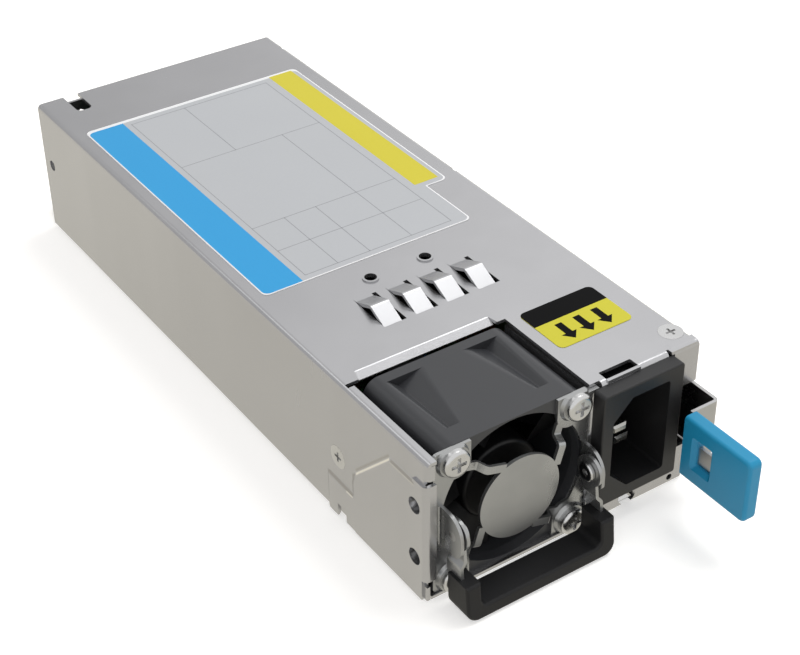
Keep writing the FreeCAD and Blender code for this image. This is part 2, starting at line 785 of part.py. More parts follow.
def guard_corner(mirror_x, mirror_z):
    """Rounded corner plate with its raised boss for a screw."""
    half = fan_side / 2
    near = half - guard_tab_reach
    far_x = guard_right - fan_x if mirror_x > 0 else fan_x - guard_left
    points = [(near, guard_half_height, 2.2), (far_x, guard_half_height, 1.2), (far_x, near - 0.8),
              (near, near - 0.8, 3.4)]
    plate = slab("xz", points, guard_front, fan_front)
    pitch = fan_pitch / 2
    drum = cone("xz", pitch, pitch, screw_head_radius + 0.4, screw_head_radius + 1.4, screw_seat(), fan_front)
    trim = slab("xz", points, screw_seat(), fan_front)
    corner = joined([plate, drum.common(trim)])
    if mirror_x < 0:
        corner = corner.mirror(vec(0, 0, 0), vec(1, 0, 0))
    if mirror_z < 0:
        corner = corner.mirror(vec(0, 0, 0), vec(0, 0, 1))
    corner.translate(vec(fan_x, 0, fan_z))
    return corner


def fan_guard():
    """Stamped guard: corner plates, side bands, stepped spokes and a
    disc. A small lip at its top right reaches over the partition."""
    plate = box(guard_left, guard_right, guard_front, fan_front, fan_z - guard_half_height,
                fan_z + guard_half_height)
    ears_at = (fan_x - ear_half_width, fan_x + ear_half_width)
    ear_zone = [box(ears_at[0] - 0.9, ears_at[0] + 3, guard_front - 1, fan_front + 1, fan_z - 5.4, fan_z + 5.0),
                box(ears_at[1] - 3, ears_at[1] + 0.5, guard_front - 1, fan_front + 1, fan_z - 5.4, fan_z + 5.0)]
    hole = rod("xz", fan_x, fan_z, guard_opening_radius, guard_front - 1, fan_front + 1)
    gap = fan_side / 2 - guard_tab_reach
    middle = box(fan_x - gap, fan_x + gap, guard_front - 1, fan_front + 1, fan_z - 30, fan_z + 30)
    tabs = [box(fan_x + sign * fan_side / 2 - 4.6, fan_x + sign * fan_side / 2 + 4.6, guard_front - 1,
                fan_front + 1, fan_z + up * fan_side / 2 - 4.6, fan_z + up * fan_side / 2 + 4.6)
            for sign in (-1, 1) for up in (-1, 1)]
    plate = without(plate, [hole, middle] + tabs + ear_zone)
    corners = [guard_corner(sign, up) for sign in (-1, 1) for up in (-1, 1)]
    centre = vec(fan_x, 0, fan_z)
    disc = rod("xz", fan_x, fan_z, guard_disc_radius, guard_front - guard_jog,
               guard_front - guard_jog + sheet)
    spokes = ring_of(4, 90, centre, vec(0, 1, 0), guard_spoke())
    ears = [guard_ear(left) for left in ears_at]
    lip = box(guard_right - 2.0, bezel_left + 1.6, 0.2, fan_front, panel_top + 0.1, top_inside - 0.1)
    guard = joined([plate, disc, lip] + corners + spokes + ears)
    wells = [rod("xz", x, z, screw_radius + 0.1, -9, fan_front + 1) for x, z in corner_places()]
    pins = [rod("yz", pivot_y, pivot_z, rivet_radius, x - 3, x + 3) for x in ears_at]
    return without(guard, wells + pins)


def screw_seat():
    return guard_front - 0.8


def pan_screw(x, z):
    """Pan head screw with a cross recess, its shank in the frame's post."""
    seat = screw_seat()
    head = rod("xz", x, z, screw_head_radius, seat - 1.6, seat)
    head = softened(head, 0.9, lambda edge: abs(edge.CenterOfMass.y - seat + 1.6) < 1e-6)
    head = head.cut(cross("xz", x, z, 1.9, 0.45, seat - 2, seat - 0.8))
    return head.fuse(rod("xz", x, z, screw_radius, seat - 0.5, fan_front + 9))


def guard_screws():
    return group([pan_screw(x, z).removeSplitter() for x, z in corner_places()])


def mirrored(shape):
    """The same piece on the other side of the fan's middle."""
    return shape.mirror(vec(fan_x, 0, 0), vec(1, 0, 0))


def bail_half():
    """One arm of the handle's steel strap, stepped outwards at the ear's
    end and turned along the crossbar."""
    inner_x = arm_outer
    outer_x = fan_x - ear_half_width
    low = fan_z - grip_reach + 2.0
    path = [
        (inner_x, pivot_z + arm_end_radius + 1),
        (inner_x, fan_z - 5.8),
        (outer_x, fan_z - 7.2),
        (outer_x, low),
        (fan_x + 1, low),
    ]
    strap = fold("xz", path, 1, -12, 4)
    half = arm_width / 2
    profile = [(pivot_y - half, pivot_z), (pivot_y + half, pivot_z), (pivot_y + 1.7, pivot_z - 10),
               (pivot_y - 0.4, low - 1), (pivot_y - 5.2, low - 1), (pivot_y - 3.4, pivot_z - 10)]
    eye = rod("yz", pivot_y, pivot_z, arm_end_radius, -5, fan_x)
    strap = strap.common(joined([slab("yz", profile, -5, fan_x), eye]))
    return strap.cut(rod("yz", pivot_y, pivot_z, rivet_radius + run_gap, -5, fan_x))


def handle_bail():
    left = bail_half()
    return joined([left, mirrored(left)])


def handle_grip():
    """Rounded over-moulded U around the strap."""
    outer = fan_x - ear_half_width - 0.8
    inner = outer + grip_thickness
    top = pivot_z - 9.9
    bottom = pivot_z - grip_reach
    far_outer = 2 * fan_x - outer
    far_inner = 2 * fan_x - inner
    loop = [(outer, top), (outer, bottom, 3.0), (far_outer, bottom, 3.0), (far_outer, top),
            (far_inner, top), (far_inner, bottom + 3.3, 1.6), (inner, bottom + 3.3, 1.6), (inner, top)]
    solid = slab("xz", loop, pivot_y - 10, pivot_y + 5)
    front = pivot_y - grip_depth
    lean = [(pivot_y + 0.8, top + 1), (pivot_y + 0.4, bottom - 1), (front, bottom - 1),
            (front + 1.2, top + 1)]
    solid = solid.common(slab("yz", lean, -5, 60))
    ridge = softened(solid, 0.7, lambda edge: edge.BoundBox.YLength < 1.6 and edge.Length > 3)
    return ridge.cut(handle_bail())


def rivet(x):
    """Pivot rivet with a ring-shaped head inside the arm."""
    inward = 1 if x < fan_x else -1
    end = x + inward * (2 * sheet + seat_gap)
    shank = rod("yz", pivot_y, pivot_z, rivet_radius, min(x, end), max(x, end))
    head_low = min(end + inward * 0.15, end + inward * 1.1)
    head = rod("yz", pivot_y, pivot_z, 2.25, head_low, head_low + 0.95)
    face = head_low + 0.95 if inward > 0 else head_low
    head = softened(head, 0.35, lambda edge: abs(edge.CenterOfMass.x - face) < 1e-6)
    neck = rod("yz", pivot_y, pivot_z, rivet_radius, min(end, head_low), max(end, head_low + 0.95))
    star = hexagon_hole(face, inward)
    return joined([shank, head, neck]).cut(star)


def hexagon_hole(face, inward):
    """Six-lobed drive in the rivet's head, set in from its face."""
    points = []
    for index in range(12):
        radius = 1.0 if index % 2 == 0 else 0.72
        angle = math.radians(30 * index)
        points.append((pivot_y + radius * math.cos(angle), pivot_z + radius * math.sin(angle)))
    low = min(face + inward * 0.1, face - inward * 1.0)
    return slab("yz", points, low, low + 1.1)


def handle_rivets():
    return group([rivet(fan_x - ear_half_width), rivet(fan_x + ear_half_width)])


# Inlet

def inlet_housing():
    """Three-pin mains inlet turned on its side, snapped into the panel."""
    low = bezel_lift
    bezel = slab("xz", rounded(bezel_left, bezel_right, low, low + bezel_height, 0.8), -bezel_depth, 0)
    bezel = softened(bezel, 0.4, lambda edge: abs(edge.CenterOfMass.y + bezel_depth) < 1e-6)
    half_w = inlet_body_width / 2
    half_h = inlet_body_height / 2
    body = slab("xz", rounded(inlet_x - half_w, inlet_x + half_w, inlet_z - half_h, inlet_z + half_h, 0.6),
                -0.5, inlet_depth)
    right = bezel_left + 3.0 + recess_width
    left = bezel_left + 3.0
    bottom = inlet_z - recess_height / 2
    top = inlet_z + recess_height / 2
    cut = recess_chamfer
    mouth = [(left, bottom + cut, 0.6), (left + cut, bottom, 0.6), (right, bottom, 0.8), (right, top, 0.8),
             (left + cut, top, 0.6), (left, top - cut, 0.6)]
    recess = slab("xz", mouth, -bezel_depth - 1, inlet_floor)
    snaps = []
    for sign in (-1, 1):
        edge = inlet_z + sign * half_h
        wedge = [(sheet + 0.2, edge - sign * 0.2), (sheet + 0.2, edge + sign * 0.9), (6.0, edge - sign * 0.2)]
        snaps.append(slab("yz", wedge, inlet_x - 4, inlet_x + 4))
    housing = joined([bezel, body] + snaps).cut(recess)
    slots = [box(x - 2.0, x + 2.0, inlet_floor - 1, inlet_depth + 1, z - 1.0, z + 1.0)
             for x, z in inlet_pin_places()]
    return without(housing, slots)


def inlet_pin_places():
    """Earth pin first, then the two line pins."""
    return [(inlet_x - 2.0, inlet_z), (inlet_x + 2.0, inlet_z - 7.0), (inlet_x + 2.0, inlet_z + 7.0)]


def inlet_pins():
    pins = []
    for index, (x, z) in enumerate(inlet_pin_places()):
        tip = 1.0 if index == 0 else 4.5
        blade = box(x - 2.0, x + 2.0, tip, inlet_depth, z - 1.0, z + 1.0)
        ends = [edge for edge in blade.Edges if abs(edge.CenterOfMass.y - tip) < 1e-6]
        blade = blade.makeChamfer(0.5, ends)
        tail = box(x - 1.0, x + 1.0, inlet_depth - 0.5, inlet_depth + 4.0, z - 0.5, z + 0.5)
        pins.append(blade.fuse(tail).removeSplitter())
    return group(pins)


def inlet_board():
    """Small board behind the inlet that takes its pins."""
    low = inlet_depth
    left = partition_left + sheet + 0.4
    board = box(left, tray_right - 4.2, low, low + board_thickness, board_top + 0.3, case_height - 3.0)
    holes = [box(x - 1.0, x + 1.0, low - 1, low + 3, z - 0.5, z + 0.5) for x, z in inlet_pin_places()]
    corner = box(tray_right - 9.0, tray_right, low - 1, low + 3, latch_bottom - 2, latch_top + 2)
    return without(board, holes + [corner])


# Latch

def anchor_rivets():
    middle = window_back + anchor_length / 2 + 0.3
    return [(middle, latch_mid - 4.5), (middle, latch_mid + 4.5)]


def latch_anchor():
    """Fixed end of the latch's spring strip, riveted in the wall's recess."""
    strip = slab("yz", rounded(window_back + 0.15, window_back + anchor_length, latch_bottom, latch_top, 1.0),
                 tray_right, case_width)
    return without(strip, [rod("yz", y, z, rivet_radius, 0, case_width + 1) for y, z in anchor_rivets()])


def latch_rivets():
    pins = []
    for y, z in anchor_rivets():
        shank = rod("yz", y, z, rivet_radius, tray_right - sheet - 0.4, case_width)
        head = rod("yz", y, z, 2.1, tray_right - sheet - 0.6, tray_right - sheet)
        pins.append(joined([shank, head]))
    return group(pins)


def latch_strip():
    """Spring strip: along the wall, across the front and out as a tab."""
    fold_y = -latch_fold_reach
    tab_x = bezel_right - latch_tab_inset
    path = [
        (case_width, window_back - 0.15),
        (case_width, fold_y - sheet),
        (tab_x, fold_y - sheet),
    ]
    return path, tab_x, fold_y


def latch_spring():
    path, tab_x, fold_y = latch_strip()
    band = fold("xy", path, -1, latch_bottom, latch_top)
    tongue_back = fold_y - tab_length + 1.5
    tongue = fold("xy", [(tab_x + 3.5, fold_y), (tab_x - sheet, fold_y), (tab_x - sheet, tongue_back)], 1,
                  latch_bottom + 1.5, latch_top - 1.5)
    barb_back = 16.0
    barb = slab("xy", [(tray_right + 0.2, barb_back), (case_width, barb_back),
                       (case_width + barb_height, barb_back - 0.5), (case_width, barb_back - 5),
                       (tray_right + 0.2, barb_back - 5)], latch_mid - 3.0, latch_mid + 3.0)
    slot = box(tab_x - 3, tab_x + 3, fold_y - 9.0, fold_y - 4.2, latch_mid + 1.4, latch_mid + 4.2)
    return joined([band, tongue, barb]).cut(slot)


def latch_tab():
    """Rounded over-mould on the latch's tongue, with a bevelled window."""
    path, tab_x, fold_y = latch_strip()
    middle = tab_x - sheet / 2
    low_x = middle - tab_thickness / 2
    high_x = middle + tab_thickness / 2
    front = fold_y - sheet - tab_length
    back = fold_y - sheet - 0.05
    side = [(front, latch_bottom, 1.6), (back, latch_bottom), (back, latch_top), (front, latch_top, 1.6)]
    body = slab("yz", side, low_x, high_x)
    rims = [edge for edge in body.Edges
            if abs(abs(edge.CenterOfMass.x - middle) - tab_thickness / 2) < 1e-6
            and edge.CenterOfMass.y < back - 0.1]
    body = body.makeFillet(0.9, rims)
    window_y = fold_y - 9.0
    inner = rounded(window_y, window_y + 4.4, latch_mid - 3.4, latch_mid + 3.4, 0.4)
    outer = rounded(window_y - 1, window_y + 5.4, latch_mid - 4.4, latch_mid + 4.4, 0.8)
    through = slab("yz", inner, low_x - 1, high_x + 1)
    left_bevel = loft([outline("yz", outer, low_x - 0.01), outline("yz", inner, low_x + 1.0)])
    right_bevel = loft([outline("yz", inner, high_x - 1.0), outline("yz", outer, high_x + 0.01)])
    return without(body, [through, left_bevel, right_bevel, latch_spring()])


# Boards

def edge_left():
    return (case_width - edge_width) / 2


def standoff_places():
    xs = (board_left + 6.0, board_right - 6.0)
    ys = (board_front + 6.0, (board_front + board_back) / 2, board_back - 6.0)
    return [(x, y) for x in xs for y in ys]


def board_screw_holes(low, high):
    return [rod("xy", x, y, board_screw_radius + 0.05, low, high) for x, y in standoff_places()]


def board_standoffs():
    """Press-in threaded standoffs in the tray's base."""
    posts = []
    for x, y in standoff_places():
        post = joined([rod("xy", x, y, standoff_radius, sheet, board_bottom), rod("xy", x, y, 1.5, 0.1, sheet)])
        posts.append(post.cut(rod("xy", x, y, board_screw_radius + 0.05, sheet + 0.6, board_bottom + 1)))
    return group(posts)


def board_screws():
    screws = []
    for x, y in standoff_places():
        head = rod("xy", x, y, 2.4, board_top, board_top + 1.6)
        head = bevelled(head, 0.5)
        shank = rod("xy", x, y, board_screw_radius, sheet + 1.2, board_top + 0.5)
        screws.append(joined([head, shank]))
    return group(screws)


def insulation_sheet():
    inset = 1.6
    sheet_outline = rounded(board_left + inset, board_right - inset, board_front + inset, board_back - inset, 3)
    film = slab("xy", sheet_outline, sheet, sheet + insulation_thickness)
    return without(film, [rod("xy", x, y, standoff_radius + 0.5, 0, 5) for x, y in standoff_places()])


def main_board():
    """Main board with the card-edge tongue that reaches out at the back."""
    left = edge_left()
    right = left + edge_width
    tip = case_length + edge_reach
    points = [(board_left, board_front, 1.0), (board_right, board_front, 1.0), (board_right, board_back, 1.0),
              (right, board_back), (right, tip, 0.8), (left, tip, 0.8), (left, board_back),
              (board_left, board_back, 1.0)]
    board = slab("xy", points, board_bottom, board_top)
    return without(board, board_screw_holes(0, board_top + 1))


def edge_contacts():
    """Plated contacts on both faces of the tongue."""
    tip = case_length + edge_reach
    plate = 0.08
    width = 1.7
    start = case_width / 2 - (contact_count - 1) * contact_pitch / 2
    pads = []
    for index in range(contact_count):
        x = start + index * contact_pitch
        for low in (board_top, board_bottom - plate):
            pads.append(box(x - width / 2, x + width / 2, tip - 8.6, tip - 0.9, low, low + plate))
    return group(pads)


def control_board():
    """Upright daughter board with its chips and header."""
    x = case_width / 2 - 7.0
    front = board_front + 0.596 * board_length
    length = 0.278 * board_length
    low = board_top
    board = box(x, x + 1.2, front, front + length, low, low + 22)
    parts = [board]
    for y, z, a, b in ((0.19 * length, 12, 7, 7), (0.52 * length, 13, 5, 6), (0.79 * length, 9, 4, 8)):
        parts.append(box(x + 1.2, x + 2.4, front + y - a / 2, front + y + a / 2, low + z - b / 2,
                         low + z + b / 2))
    for index in range(8):
        y = front + (index + 0.9) * length / 9.1
        parts.append(box(x - 0.9, x, y, y + 1.6, low + 15, low + 18))
    return group(parts)


# Parts on the main board

def heat_sink(x, front, length):
    """Upright aluminium bar with fins and a foot, one side flat for the
    power transistors."""
    fin = 1.1
    count = 6
    spread = (length - fin) / (count * 2)
    low = board_top + 0.3
    high = low + sink_height
    bar = box(x, x + sink_thickness, front, front + length, low, high)
    fins = []
    for index in range(5):
        z = low + 3.5 + index * (sink_height - 5) / 4.4
        fins.append(box(x - fin_reach, x, front, front + length, z, z + fin))
    pins = [box(x + 0.8, x + 2.2, y, y + 1.4, board_top, low) for y in (front + spread, front + length - spread - 1.4)]
    return joined([bar] + fins + pins)


def primary_heat_sink():
    return heat_sink(primary_sink_x, primary_sink_front, primary_sink_length)


def secondary_heat_sink():
    return heat_sink(secondary_sink_x, secondary_sink_front, secondary_sink_length)


def transistor(x, y):
    """Flat plastic power package with its metal tab and three legs."""
    low = board_top + 7.0
    half = package_width / 2
    body = box(x, x + package_thickness, y - half, y + half, low, low + 14.0)
    hole = rod("yz", y, low + 11.0, 1.7, x - 1, x + 5)
    legs = [box(x + 1.4, x + 2.0, y + shift - 0.5, y + shift + 0.5, board_top, low) for shift in (-4, 0, 4)]
    return joined([body.cut(hole)] + legs)


def power_transistors():
    face = primary_sink_x + sink_thickness
    first = primary_sink_front + 0.163 * primary_sink_length
    primary = [transistor(face, first + step * 1.21 * package_width) for step in range(2)]
    back_face = secondary_sink_x + sink_thickness
    back_first = secondary_sink_front + 0.19 * secondary_sink_length
    secondary = [transistor(back_face, back_first + step * 1.13 * package_width) for step in range(2)]
    return group(primary + secondary)


def bridge_rectifier():
    """In-line rectifier on the primary heat sink."""
    x = primary_sink_x + sink_thickness
    y = primary_sink_front + 0.815 * primary_sink_length
    half = 0.625 * package_width
    low = board_top + 5.0
    body = slab("yz", [(y - half, low), (y + half, low), (y + half, low + 17), (y - half + 3, low + 17),
                       (y - half, low + 14)], x, x + 4.0)
    hole = rod("yz", y, low + 10.0, 1.7, x - 1, x + 5)
    legs = [box(x + 1.6, x + 2.4, y + shift - 0.6, y + shift + 0.6, board_top, low)
            for shift in (-0.8 * half, -0.27 * half, 0.27 * half, 0.8 * half)]
    return joined([body.cut(hole)] + legs)


def bulk_capacitor():
    """Large electrolytic can lying along the case, with a crimped neck."""
    x = bulk_left + bulk_radius
    z = board_top + part_gap + bulk_radius
    front = bulk_front
    can = bevelled(rod("xz", x, z, bulk_radius, front, front + bulk_length), 0.9)
    ring = tube("xz", x, z, bulk_radius + 1, bulk_radius - 0.8, front + 3, front + 4.4)
    legs = [box(x + shift - 0.6, x + shift + 0.6, front - 1.5, front, board_top, z) for shift in (-5, 5)]
    return joined([can.cut(ring)] + legs)


def transformer_place():
    """Left edge and front edge of the main transformer."""
    return board_right - 1.5 - core_width, bulk_front + bulk_length + 5.0


def transformer_core():
    """Pair of ferrite halves: outer legs and a round centre leg."""
    left, front = transformer_place()
    low = board_top + 1.0
    block = box(left, left + core_width, front, front + core_length, low, low + core_height)
    opening = box(left + core_leg, left + core_width - core_leg, front - 1, front + core_length + 1,
                  low + core_leg, low + core_height - core_leg)
    x = left + core_width / 2
    y = front + core_length / 2
    leg = rod("xy", x, y, core_leg - 1.0, low + core_leg - 0.5, low + core_height - core_leg + 0.5)
    feet = [box(left + shift, left + shift + 3, front + 3, front + core_length - 3, board_top, low)
            for shift in (1.0, core_width - 4.0)]
    return joined([block.cut(opening), leg] + feet)


def transformer_winding():
    """Taped winding on its bobbin around the centre leg."""
    left, front = transformer_place()
    low = board_top + 1.0 + core_leg
    high = board_top + 1.0 + core_height - core_leg
    x = left + core_width / 2
    y = front + core_length / 2
    flat = core_width / 2 - core_leg - 0.3
    deep = core_length / 2 + 1.5
    coil = slab("xy", rounded(x - flat, x + flat, y - deep, y + deep, flat - 0.5), low + 0.2, high - 0.2)
    return coil.cut(rod("xy", x, y, core_leg - 1.0, low - 1, high + 1))


def toroid(plane, a, b, outer, low, height):
    """Powder ring core with bevelled edges."""
    return bevelled(tube(plane, a, b, outer, outer * 0.52, low, low + height), 0.7)


def turns(plane, a, b, outer, low, height, wire, count, skip):
    """Flattened loops of wire around a ring core."""
    inner = outer * 0.52
    loops = []
    centre = spot(plane, a, b, low)
    for index in range(count):
        if index % skip == skip - 1:
            continue
        half = wire / 2
        corners = [(a + inner - wire, b - half), (a + outer + wire, b - half), (a + outer + wire, b + half),
                   (a + inner - wire, b + half)]
        loop = slab(plane, corners, low - wire, low + height + wire)
        loop = loop.cut(tube(plane, a, b, outer, inner, low, low + height))
        loop.rotate(centre, normal(plane), index * 360 / count)
        loops.append(loop)
    return loops


def choke_core():
    return toroid("xy", choke_x, choke_y, choke_radius, board_top + 1.4, choke_height)


def choke_winding():
    return group(turns("xy", choke_x, choke_y, choke_radius, board_top + 1.4, choke_height, choke_wire, 16, 16))


def filter_places():
    x = board_left + 0.7114 * board_width
    return [(x, board_front + share * board_length) for share in (0.033, 0.139)]


def line_choke_cores():
    rings = []
    for x, y in filter_places():
        rings.append(toroid("xz", x, board_top + 1.4 + filter_radius, filter_radius, y - filter_height / 2 + 2,
                            filter_height - 4))
    return group(rings)


def line_choke_windings():
    loops = []
    for x, y in filter_places():
        loops += turns("xz", x, board_top + 1.4 + filter_radius, filter_radius, y - filter_height / 2 + 2,
                       filter_height - 4, filter_wire, 12, 6)
    return group(loops)


def film_capacitors():
    """Two boxed suppression capacitors beside the filter coils."""
    blocks = []
    right = board_right - 1.6
    left = right - 6.4
    length = 0.066 * board_length
    for y in (board_front + 0.061 * board_length, board_front + 0.137 * board_length):
        block = slab("xz", rounded(left, right, board_top + 0.4, board_top + 15.0, 0.8), y, y + length)
        legs = [box(left + 2.8, left + 3.6, leg_y, leg_y + 0.8, board_top, board_top + 0.5)
                for leg_y in (y + 1.5, y + length - 2.5)]
        blocks.append(joined([block] + legs))
    return group(blocks)


def disc_capacitors():
    """Coated ceramic discs standing on their leads."""
    discs = []
    for across, back in ((0.397, 0.1687), (0.511, 0.185), (0.097, 0.119)):
        x = board_left + across * board_width
        y = board_front + back * board_length
        z = board_top + 6.0
        disc = bevelled(rod("xz", x, z, 4.0, y - 1.4, y + 1.4), 0.8)
        legs = [box(x + shift - 0.35, x + shift + 0.35, y - 0.35, y + 0.35, board_top, z - 2.0)
                for shift in (-2.5, 2.5)]
        discs.append(joined([disc] + legs))
    return group(discs)


def inrush_relay():
    left = relay_left
    front = board_front + 0.0265 * board_length
    case = slab("xy", rounded(left, left + relay_width, front, front + 0.119 * board_length, 0.8), board_top,
                board_top + 15.0)
    return case.cut(box(left + 4, left + 6, front + 1.5, front + 4, board_top + 14.4, board_top + 16))


def inlet_fuse():
    """Glass fuse lying in its two end caps."""
    x = board_left + 0.494 * board_width
    low = board_top + 0.8
    z = low + 2.6
    front = board_front + 0.0317 * board_length
    back = board_front + 0.1667 * board_length
    cap = 5.5
    glass = rod("xz", x, z, 2.3, front + 0.2, back - 0.2)
    caps = [tube("xz", x, z, 2.6, 2.3, y, y + cap) for y in (front, back - cap)]
    legs = [box(x - 0.4, x + 0.4, y, y + 0.8, board_top, low + 0.2) for y in (front + 2.2, back - 3.2)]
    return group([joined([glass] + caps + legs)])


def output_capacitors():
    """Row of polymer cans by the card edge."""
    cans = []
    pitch = 2 * can_radius + 1.6
    count = int((board_right - board_left - 20) / pitch)
    first = case_width / 2 - (count - 1) * pitch / 2
    for index in range(count):
        x = first + index * pitch
        y = board_back - 10.0
        can = rod("xy", x, y, can_radius, board_top, board_top + can_height)
        can = bevelled(can, 0.6)
        neck = tube("xy", x, y, can_radius + 1, can_radius - 0.5, board_top + 1.6, board_top + 2.6)
        cans.append(can.cut(neck))
    return group(cans)


def standby_transformer():
    left = board_left + 9.8
    front = bulk_front + 0.565 * bulk_length
    low = board_top
    side = primary_sink_x - fin_reach - left - 1.0
    core = box(left, left + side, front, front + side, low + 1.5, low + 14)
    wrap = slab("xy", rounded(left + 2, left + side - 2, front - 2, front + side + 2, 1.5), low + 3.5, low + 12)
    base = box(left, left + side, front - 2, front + side + 2, low, low + 1.5)
    return joined([core, wrap, base])


def fan_plug():
    """Four-way plug seated in its header on the board."""
    x = plug_left
    y = board_front + 1.5
    right = x + plug_width
    shroud = box(x, right, y, y + 5.0, board_top, board_top + 5.6)
    pocket = box(x + 0.8, right - 0.8, y + 0.8, y + 4.2, board_top + 1.0, board_top + 6)
    plug = box(x + 1.0, right - 1.0, y + 1.0, y + 4.0, board_top + 1.0, board_top + 8.0)
    pitch = 0.208 * plug_width
    ribs = [box(x + 2.0 + index * pitch, x + 2.6 + index * pitch, y + 0.8, y + 1.0, board_top + 5.8,
                board_top + 7.6) for index in range(4)]
    return group([shroud.cut(pocket), joined([plug] + ribs)])


def fan_lead():
    """Short sleeved lead from the fan's frame down to its plug."""
    radius = 1.1
    x = plug_left + plug_width / 2
    plug_top = board_top + 8.0
    lead_x = fan_x - fan_side / 2 + 2.0
    start = vec(lead_x, fan_back - 1.2, fan_z + 9.2)
    points = [start, vec(lead_x, fan_back + 3.2, fan_z + 9.2), vec(x - 6.0, fan_back + 6.2, fan_z + 6.0),
              vec(x, board_front + 4.0, plug_top + 6.0), vec(x, board_front + 4.0, plug_top)]
    edges = []
    here = points[0]
    for before, corner, after in zip(points, points[1:], points[2:]):
        shorter = min(before.distanceToPoint(corner), corner.distanceToPoint(after))
        half = (before - corner).getAngle(after - corner) / 2
        arc_start, middle, arc_end = corner_arc(before, corner, after, 0.45 * shorter * math.tan(half))
        edges.append(Part.LineSegment(here, arc_start).toShape())
        edges.append(Part.Arc(arc_start, middle, arc_end).toShape())
        here = arc_end
    edges.append(Part.LineSegment(here, points[-1]).toShape())
    path = Part.Wire(edges)
    section = Part.Wire(Part.makeCircle(radius, start, vec(0, 1, 0)))
    return path.makePipeShell([section], True, True)


pieces = {
    "chassis_tray": chassis_tray,
    "top_cover": top_cover,
    "cover_screws": cover_screws,
    "fan_frame": fan_frame,
    "fan_bearings": fan_bearings,
    "fan_stator": fan_stator,
    "fan_board": fan_board,
    "fan_impeller": fan_impeller,
    "rotor_yoke": rotor_yoke,
    "rotor_magnet": rotor_magnet,
    "fan_shaft": fan_shaft,
    "fan_guard": fan_guard,
    "guard_screws": guard_screws,
    "handle_bail": handle_bail,
    "handle_grip": handle_grip,
    "handle_rivets": handle_rivets,
    "inlet_housing": inlet_housing,
    "inlet_pins": inlet_pins,
    "inlet_board": inlet_board,
    "latch_anchor": latch_anchor,
    "latch_rivets": latch_rivets,
    "latch_spring": latch_spring,
    "latch_tab": latch_tab,
    "main_board": main_board,
    "edge_contacts": edge_contacts,
    "insulation_sheet": insulation_sheet,
    "board_standoffs": board_standoffs,
    "board_screws": board_screws,
    "control_board": control_board,
    "primary_heat_sink": primary_heat_sink,
    "secondary_heat_sink": secondary_heat_sink,
    "power_transistors": power_transistors,
    "bridge_rectifier": bridge_rectifier,
    "bulk_capacitor": bulk_capacitor,
    "transformer_core": transformer_core,
    "transformer_winding": transformer_winding,
    "choke_core": choke_core,
    "choke_winding": choke_winding,
    "line_choke_cores": line_choke_cores,
    "line_choke_windings": line_choke_windings,
    "film_capacitors": film_capacitors,
    "disc_capacitors": disc_capacitors,
    "inrush_relay": inrush_relay,
    "inlet_fuse": inlet_fuse,
    "output_capacitors": output_capacitors,
    "standby_transformer": standby_transformer,
    "fan_plug": fan_plug,
    "fan_lead": fan_lead,
}

os.makedirs("parts", exist_ok=True)
for name, make in pieces.items():
    shape = make()
    shape.translate(vec(-case_width / 2, -case_length / 2, 0))
    shape.exportStep("parts/" + name + ".step")
    print(name, len(shape.Solids), shape.isValid(), round(shape.Volume, 1))
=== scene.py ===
import json
import math

import bpy
import numpy as np
from mathutils import Euler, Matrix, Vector


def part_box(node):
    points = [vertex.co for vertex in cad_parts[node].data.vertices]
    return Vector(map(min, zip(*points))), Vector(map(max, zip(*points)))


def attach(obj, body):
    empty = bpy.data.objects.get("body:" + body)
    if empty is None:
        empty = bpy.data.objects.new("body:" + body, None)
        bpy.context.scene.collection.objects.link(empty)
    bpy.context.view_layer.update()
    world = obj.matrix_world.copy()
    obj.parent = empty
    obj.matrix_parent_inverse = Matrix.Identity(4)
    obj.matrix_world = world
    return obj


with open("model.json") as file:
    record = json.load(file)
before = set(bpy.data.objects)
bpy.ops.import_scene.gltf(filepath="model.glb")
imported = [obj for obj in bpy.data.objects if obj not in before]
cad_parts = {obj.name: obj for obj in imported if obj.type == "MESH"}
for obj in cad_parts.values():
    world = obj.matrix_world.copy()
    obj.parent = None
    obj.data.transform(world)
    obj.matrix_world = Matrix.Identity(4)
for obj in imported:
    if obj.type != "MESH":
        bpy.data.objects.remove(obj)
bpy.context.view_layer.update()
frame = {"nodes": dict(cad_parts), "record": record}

nodes = frame["nodes"]
mm = 0.001

# The case's own corner: x from its left wall, y from its front face, z from its underside, in millimetres
trayLow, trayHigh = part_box("chassis_tray")
caseRight = trayHigh[0]
caseFront = trayLow[1]
caseTop = 39.0


def place(points):
    # case millimetres to the frame's metres
    points = np.asarray(points, dtype=float)
    return points * mm + np.array([-caseRight, caseFront, 0.0])


# Camera

photoCamera = {
    "eye": (-149.45, -214.94, 259.22),  # case millimetres
    "turn": (54.501, 0.594, -34.219),   # degrees about X, Y and Z
    "focalPixels": 1707.1,
    "imageWidth": 800,
    "sensor": 36.0,
    "clip": (0.01, 20.0),               # metres
}


def makeCamera(look):
    data = bpy.data.cameras.new("photo_camera")
    data.sensor_fit = "HORIZONTAL"
    data.sensor_width = look["sensor"]
    data.lens = look["focalPixels"] * look["sensor"] / look["imageWidth"]
    data.clip_start, data.clip_end = look["clip"]
    camera = bpy.data.objects.new("photo_camera", data)
    bpy.context.scene.collection.objects.link(camera)
    camera.location = Vector(place([look["eye"]])[0])
    camera.rotation_euler = Euler([math.radians(angle) for angle in look["turn"]], "XYZ")
    bpy.context.scene.camera = camera


makeCamera(photoCamera)
bpy.context.scene.view_settings.view_transform = "Standard"
print("camera ready")


# Colour and shader helpers

def hexColour(text):
    # screen colour such as "BDBDBF" to linear red, green, blue, alpha
    channels = np.array([int(text[i:i + 2], 16) for i in (0, 2, 4)]) / 255.0
    linear = np.where(channels <= 0.04045, channels / 12.92, ((channels + 0.055) / 1.055) ** 2.4)
    return (*linear.tolist(), 1.0)


